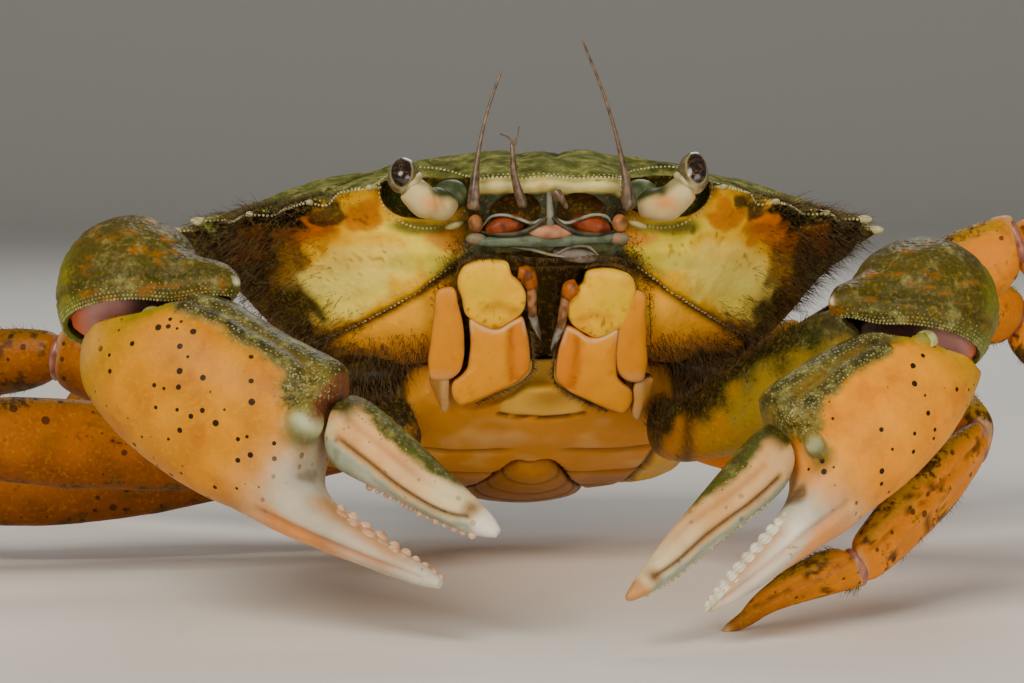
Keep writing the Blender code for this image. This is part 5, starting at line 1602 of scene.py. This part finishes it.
def makeArm(label):
    # the claw's arm: dark olive on top and orange below; the hairy top of its inner half is painted nearly
    # black for its hair and as painted shade, and its inner end under the body is painted shade
    node = f"claw_{label}_arm"
    mesh = finerCopy(node, 3, 0.2)
    points, normals = readPoints(mesh), readNormals(mesh)
    low, high = points.min(axis=0), points.max(axis=0)
    share = (points - low) / (high - low)
    outer = 1 - share[:, 0] if label == "R" else share[:, 0]
    n1 = roughly(points, 2.5, 5.0)
    pushOut(mesh, points, normals, 0.12 * n1)
    tint = plain(len(points), "#B87408")
    lay(tint, "#8A8410", step(outer + 0.1 * n1, 0.1, 0.45) * 0.7)
    lay(tint, "#34400C", step(normals[:, 2] + 0.3 * n1, -0.1, 0.4))
    # painted shade: the inner end, where the arm goes in under the body, nearly black
    lay(tint, "#2A1E08", step(-outer + 0.08 * n1, -0.12, 0.0) * 0.9)
    # the hairy top of the inner half: dark for its hair, and also painted shade
    hairAndShade = step(normals[:, 2] + 0.4 * n1, 0.0, 0.4) * step(-outer, -0.72, -0.5)
    lay(tint, "#2C220C", hairAndShade * 0.85)
    lay(tint, "#1E1608", valley(np.abs(outer - 0.16), 0.03) * 0.8)
    moss = 0.25 + 0.5 * step(normals[:, 2], 0.0, 0.6) * (1 - hairAndShade)
    front = hairAndShade * step(-normals[:, 1], -0.3, 0.3)
    spots, ways, _ = sampled(mesh, front, 1100)
    along = np.array((1.0, 0, 0) if label == "L" else (-1.0, 0, 0))
    lies = ways * 0.7 + along * 0.4 + (0, -0.4, 0.3)
    grow("limbSetae", spots, lies, 1.4, limbUnwrap(spots, points, along))
    addPiece(f"clawArm_{label}", mesh, clawShell, "shell_orange", [node], tint,
             moss=moss, grain=0.6)


for label in claws:
    makeWrist(label)
    makeArm(label)
print("claws ready")


legColours = {"thigh": "#E68600", "knee": "#DE8000", "shin": "#E08200", "toe": "#D07C04"}


def makeLegPiece(label, part):
    # two grooves run along shin and toe, brown scars lie over the orange, and bristles stand on the edges
    node = f"leg_{label}_{part}"
    mesh = finerCopy(node, 3, 0.22 if part != "toe" else 0.10)
    points, normals = readPoints(mesh), readNormals(mesh)
    local, share, along = limbCoords(points, np.array(body["place"]))
    half = np.abs(local[:, 1]).max()
    high = local[:, 1] / half
    n1, n2 = roughly(points, 2.6, ord(label[1]) * 1.0), roughly(points, 0.9, 3.0)
    floor = step(points[:, 2], 0.3, 1.2)
    move = 0.08 * n1 + 0.03 * n2
    if part in ("shin", "toe"):
        move -= 0.22 * valley(np.abs(high - 0.32), 0.16) + 0.18 * valley(np.abs(high + 0.35), 0.14)
    pushOut(mesh, points, normals, move * floor)
    tint = plain(len(points), legColours[part])
    lay(tint, "#F09A00", step(n1, 0.0, 0.5) * 0.5)
    lay(tint, "#B8901C", step(np.abs(high), 0.72, 0.95) * 0.4)
    lay(tint, "#8A8418", step(high + 0.3 * n1, 0.45, 0.8) * 0.55)
    # painted shade: the right legs are darkened to a deep brown orange, most on their lower sides
    if label[0] == "R":
        lay(tint, "#6A3000", 0.6 + 0.25 * step(-high + 0.3 * n1, -0.2, 0.6))
    scars = step(n1 + 0.8 * n2 + 0.5 * roughly(points, 0.45, 6.0), 0.30, 0.55)
    lay(tint, "#4A2A08", scars * step(np.abs(high) + 0.4 * n1, -0.1, 0.5) * (0.3 if part == "thigh" else 0.9))
    if part in ("shin", "toe"):
        lay(tint, "#3A240A", valley(np.abs(high - 0.32), 0.08) * step(n2, -0.2, 0.3) * 0.7)
    lay(tint, "#D8B080", (step(share, 0.96, 0.995) + step(-share, -0.03, -0.01)) * 0.6)
    if part == "toe":
        lay(tint, "#6B4420", step(share, 0.55, 0.95) * 0.7)
        lay(tint, "#C9A36A", step(share, 0.93, 0.99))
    moss = 0.20 + 0.18 * n1 + 0.25 * step(np.abs(high), 0.5, 0.9)
    if part != "thigh":
        spots, ways, dice = sampled(mesh, step(np.abs(high), 0.75, 0.95) * floor, 130)
        around = np.stack([dice.random(len(spots)), dice.random(len(spots))], axis=1) * 0.02
        unwrapped = limbUnwrap(spots, points, along) + around
        grow("limbSetae", spots, ways * 0.8 + along * 0.7, 0.7, unwrapped, 0.1, 0.028)
    addPiece(f"leg_{label}_{part}_shell", mesh, legShell, "shell_orange", [node], tint,
             moss=moss, grain=0.35, pits=0.8)


legLabels = [f"{side}{number}" for side in "RL" for number in (2, 3, 4, 5)]
for label in legLabels:
    for part in legColours:
        makeLegPiece(label, part)
print("legs ready")


def jointBetween(first, second):
    # where two nodes of the CAD model meet, which way the second goes on, and how far they touch around it
    a, b = cadPoints(first), cadPoints(second)
    gaps = np.linalg.norm(a[:, None] - b[None], axis=2)
    nearA, nearB = a[gaps.min(axis=1) < 0.9], b[gaps.min(axis=0) < 0.9]
    near = np.vstack([nearA, nearB])
    centre = near.mean(axis=0)
    along = b.mean(axis=0) - a.mean(axis=0)
    return Vector(centre), Vector(along).normalized(), np.linalg.norm(near - centre, axis=1)


def jointBall(shape, centre, along, size, around, rows):
    # a ball squeezed to its across, upright and lengthwise radii
    _, up, across = frameAlong(along, (0, 0, 1))
    turn = Matrix((across, up, along)).transposed().to_4x4()
    place = Matrix.Translation(centre) @ turn @ Matrix.Diagonal((*size, 1.0))
    bmesh.ops.create_uvsphere(shape, u_segments=around, v_segments=rows, radius=1.0, matrix=place)


def makeJointSkins():
    # the soft skin that shows where two leg pieces meet
    shape = bmesh.new()
    parts = list(legColours)
    for label in legLabels:
        for first, second in zip(parts[:-1], parts[1:]):
            centre, along, reach = jointBetween(f"leg_{label}_{first}", f"leg_{label}_{second}")
            jointBall(shape, centre, along, (reach.min() * 0.9, reach.max() * 0.86, 0.9), 24, 14)
    addPiece("legJointSkin", toMesh("legJointSkin", shape), jointSkin, "shell_pale")


makeJointSkins()
print("joint skin ready")


thorax = {
    "seams": (-1.2, 5.2, 11.6, 17.4),
    "triangle": ((-4.2, -8.4), (-2.4, -8.0), (0.0, -7.8), (2.4, -8.0), (4.2, -8.4)),
    "rootFrom": 12.5,  # how far out the blocks at the limbs' roots begin
    "tailSeams": (4.2, 8.0, 12.0, 16.2, 20.2),
}


def makeThorax():
    # the breast plate, its seams and the blocks at the roots of the limbs
    rounded = ("REMESH", {"mode": "VOXEL", "voxel_size": 0.4}), ("SMOOTH", {"iterations": 4, "factor": 0.6})
    mesh = applied(toMesh("thorax", cadShape("thorax")), *rounded)
    points, normals = readPoints(mesh), readNormals(mesh)
    local = bodyCoords(points)
    wide, y = np.abs(local[:, 0]), local[:, 1]
    n1, n2 = roughly(points, 2.8, 5.0), roughly(points, 0.9, 2.0)
    under = step(-normals[:, 2], 0.0, 0.4)
    move = 0.06 * n1
    shade = np.zeros(len(points))
    for at in thorax["seams"]:
        line = valley(np.abs(y - at - 0.12 * (wide - 8)), 0.42) * step(wide, 2.0, 4.0) * under
        move -= 0.4 * line
        shade = np.maximum(shade, line)
    # the triangular first plate between the mouth's feet, and the blocks at the roots of the limbs
    triangle = fromLine(local[:, :2], np.array(thorax["triangle"]))
    ends = -thorax["triangle"][0][1]
    first = step(-y, ends - 0.2, ends + 0.2) * step(-wide - 0.5 * n1, -4.2, -3.4)
    rootAt = wide + 0.15 * y - thorax["rootFrom"]
    root, rootLine = step(rootAt, -0.4, 0.6), valley(np.abs(rootAt), 0.45)
    move -= 0.35 * valley(triangle, 0.35) + 0.4 * rootLine * under
    move += 0.35 * root * np.sin(np.clip((y + 11.0) / 6.4, 0, 4) * math.pi) ** 2
    pushOut(mesh, points, normals, move)
    tint = plain(len(points), "#D8901C")
    lay(tint, "#E8B058", step(n1, 0.0, 0.5) * 0.6)
    lay(tint, "#F0BE74", patch(local, (-4.5, -4.0, -20), (4.0, 2.0, 4)) * 0.8)
    # darker towards the rear: a brown growth, and painted shade
    lay(tint, "#8A5210", step(y, 1.5, 9) * 0.65)
    lay(tint, "#7A4408", shade * 0.8)
    lay(tint, "#E6B63C", root * 0.9)
    lay(tint, "#C8A020", root * step(n1 + n2, 0.0, 0.6) * 0.7)
    lay(tint, "#F4C24A", first * 0.9)
    lay(tint, "#B47A10", first * patch(local, (0.5, -10.6, -19.0), (2.4, 1.8, 3)) * 0.8)
    lay(tint, "#2E1C08", np.maximum(valley(triangle, 0.28) * step(n2 + n1, -0.35, 0.1), rootLine * 0.9))
    addPiece("breastPlate", mesh, plateShell, "shell_orange", ["thorax"], tint, grain=0.3)


def makeAbdomen():
    # the tail, folded flat under the body
    mesh = finerCopy("abdomen", 3, 0.1)
    points, normals = readPoints(mesh), readNormals(mesh)
    y = bodyCoords(points)[:, 1]
    seams = sum(valley(np.abs(y - at), 0.22) for at in thorax["tailSeams"])
    pushOut(mesh, points, normals, -0.25 * seams)
    tint = plain(len(points), "#B87C1C")
    # darker towards the rear: painted shade, as on the breast plate
    lay(tint, "#8A5614", step(y, 2.0, 8.0) * 0.5)
    lay(tint, "#4A2C0C", seams * 0.7)
    addPiece("tailPlate", mesh, plateShell, "shell_yellow", ["abdomen"], tint, grain=0.3)


makeThorax()
makeAbdomen()
print("underside ready")


def makeEyeStalk(side, label):
    # a pale stalk, the collar where the eye sits in it, and its root in the socket
    mesh = finerCopy(f"eyestalk_{label}", 3, 0.2)
    points, normals = readPoints(mesh), readNormals(mesh)
    local = bodyCoords(points)
    n = roughly(points, 1.3, 5.0)
    pushOut(mesh, points, normals, 0.12 * n)
    tint = plain(len(points), "#DCC68C")
    lay(tint, "#E08A30", patch(local, (side * 11.0, -22.0, -2.6), (1.5, 1.8, 1.0)) * 0.8)
    lay(tint, "#6A6438", step(normals[:, 2] + 0.3 * n, 0.35, 0.8) * 0.7)
    lay(tint, "#39441C", step(local[:, 2] + 0.3 * n, -2.4, -1.4) * step(-np.abs(local[:, 0]), -11.8, -10.8))
    addPiece(f"eyeStalk_{label}", mesh, plateShell, "shell_pale", [f"eyestalk_{label}"], tint)
    neck, along, reach = jointBetween(f"eyestalk_{label}", f"eye_{label}")
    wide = float(np.percentile(reach, 60))
    collar = bmesh.new()
    jointBall(collar, neck, along, (wide, wide, 0.65), 36, 20)
    addTinted(f"eyeCollar_{label}", toMesh("collar", collar), "#CDBB8A", "#8F875E", slot="shell_pale")
    root = toMesh("root", bodyBall((side * 9.2, -18.3, -0.9), (1.7, 1.4, 1.5)))
    addTinted(f"eyeRoot_{label}", root, "#3E4A30", "#7A8456", slot="shell_green")


def makeEye(side, label):
    # the eye's dark window faces forwards in a mottled surround
    mesh = finerCopy(f"eye_{label}", 4, 0.26)
    points = readPoints(mesh)
    local = bodyCoords(points)
    middle = (local.max(axis=0) + local.min(axis=0)) / 2
    n = roughly(points, 0.5, 5.0)
    place = local - middle
    tint = plain(len(points), "#5E5638")
    lay(tint, "#8F875E", step(n, 0.1, 0.5) * 0.5)
    window = patch(place, (side * 0.25, -1.3, 0.25), (1.05, 1.5, 1.75))
    lay(tint, "#A09468", step(window, 0.10, 0.22) * 0.8)
    lay(tint, "#241A18", step(window, 0.26, 0.36))
    lay(tint, "#3C3430", step(window, 0.3, 0.4) * step(n, 0.1, 0.4) * 0.5)
    lay(tint, "#D8C690", step(-place[:, 2] + side * place[:, 0] * -0.4, 1.3, 2.0) * 0.9)
    addPiece(f"eyeSurface_{label}", mesh, eyeShell, "eye_dark", [f"eye_{label}"], tint)


for side, label in sides:
    makeEyeStalk(side, label)
    makeEye(side, label)
    for kind in ("long", "short"):
        node = f"feeler_{kind}_{label}"
        mesh = finerCopy(node, 3, -0.13)
        addPiece(f"feeler_{kind}_{label}_shell", mesh, feelerShell, "feeler_brown", [node])

# the upright short feeler ends in two thin lashes
lashes = (
    ((0, 0, -0.4), (-0.5, 0.0, 0.3), (-1.4, -0.1, 0.7)),
    ((0, 0, -0.4), (0.3, 0.0, 0.5), (0.45, 0.0, 1.4)),
)
shortFeeler = cadPoints("feeler_short_R")
feelerTip = shortFeeler[shortFeeler[:, 2].argmax()]
for k, lash in enumerate(lashes):
    knots = smoothThrough([feelerTip + np.array(offset) for offset in lash], 5)
    lashPiece = toMesh("lash", tube(knots, np.linspace(0.13, 0.05, len(knots)), 8))
    addPiece(f"feelerLash_{k}", lashPiece, feelerShell, "feeler_brown")
print("eyes and feelers ready")

makeCoats()
print("setae ready")


stage = {"half": 1.6, "front": -2.0, "back": 1.1, "wallHigh": 1.4, "sweep": 0.5}  # metres
lights = {
    # where each stands and points, its size, watts and colour
    "keyLight": ((-0.22, -0.50, 0.40), (0, -0.02, 0.02), 0.34, 3.5, "#FFF4E4"),
    "fillLight": ((0.34, -0.52, 0.05), (0, 0, 0.02), 0.45, 2.3, "#FFF8F0"),
    "rimLight": ((0.10, 0.45, 0.45), (0, 0, 0.03), 0.35, 1.1, "#FFFFFF"),
}


def makeStage():
    # a sheet of paper that sweeps up behind the crab
    shape = bmesh.new()
    arc = [(stage["back"] + stage["sweep"] * math.sin(t), stage["sweep"] * (1 - math.cos(t)))
           for t in np.linspace(0, math.pi / 2, 12)]
    line = [(stage["front"], 0.0), *arc, (stage["back"] + stage["sweep"], stage["wallHigh"])]
    previous = None
    for y, z in line:
        pair = [shape.verts.new((x, y, z)) for x in (-stage["half"], stage["half"])]
        if previous:
            shape.faces.new((previous[0], previous[1], pair[1], pair[0]))
        previous = pair
    mesh = bpy.data.meshes.new("floor")
    shape.to_mesh(mesh)
    shape.free()
    mesh.shade_smooth()
    floor = bpy.data.objects.new("floor", mesh)
    bpy.context.scene.collection.objects.link(floor)
    paper = bpy.data.materials.new("PaleMattPaper")
    paper.use_nodes = True
    shader = paper.node_tree.nodes["Principled BSDF"]
    shader.inputs["Base Color"].default_value = opaque("#F4F1EA")
    shader.inputs["Roughness"].default_value = 0.9
    mesh.materials.append(paper)


def addLight(name, place, target, size, watts, colour):
    lamp = bpy.data.lights.new(name, "AREA")
    lamp.shape = "DISK"
    lamp.size = size
    lamp.energy = watts
    lamp.color = linear(colour)
    made = bpy.data.objects.new(name, lamp)
    made.location = place
    made.rotation_euler = (Vector(target) - Vector(place)).to_track_quat("-Z", "Y").to_euler()
    bpy.context.scene.collection.objects.link(made)


makeStage()
for name, values in lights.items():
    addLight(name, *values)

world = bpy.data.worlds.new("softRoom")
world.use_nodes = True
world.node_tree.nodes["Background"].inputs["Color"].default_value = opaque("#E6E8EA")
world.node_tree.nodes["Background"].inputs["Strength"].default_value = 0.16
bpy.context.scene.world = world

view = {"place": (0.0075, -0.309, 0.044), "down": math.radians(4.0), "lens": 105.47, "sensor": 36.0}
lens = bpy.data.cameras.new("camera")
lens.lens = view["lens"]
lens.sensor_width = view["sensor"]
lens.clip_start = 0.01
camera = bpy.data.objects.new("camera", lens)
camera.location = view["place"]
camera.rotation_euler = (math.pi / 2 - view["down"], 0, 0)
bpy.context.scene.collection.objects.link(camera)
bpy.context.scene.camera = camera
print("stage, lights and camera ready")
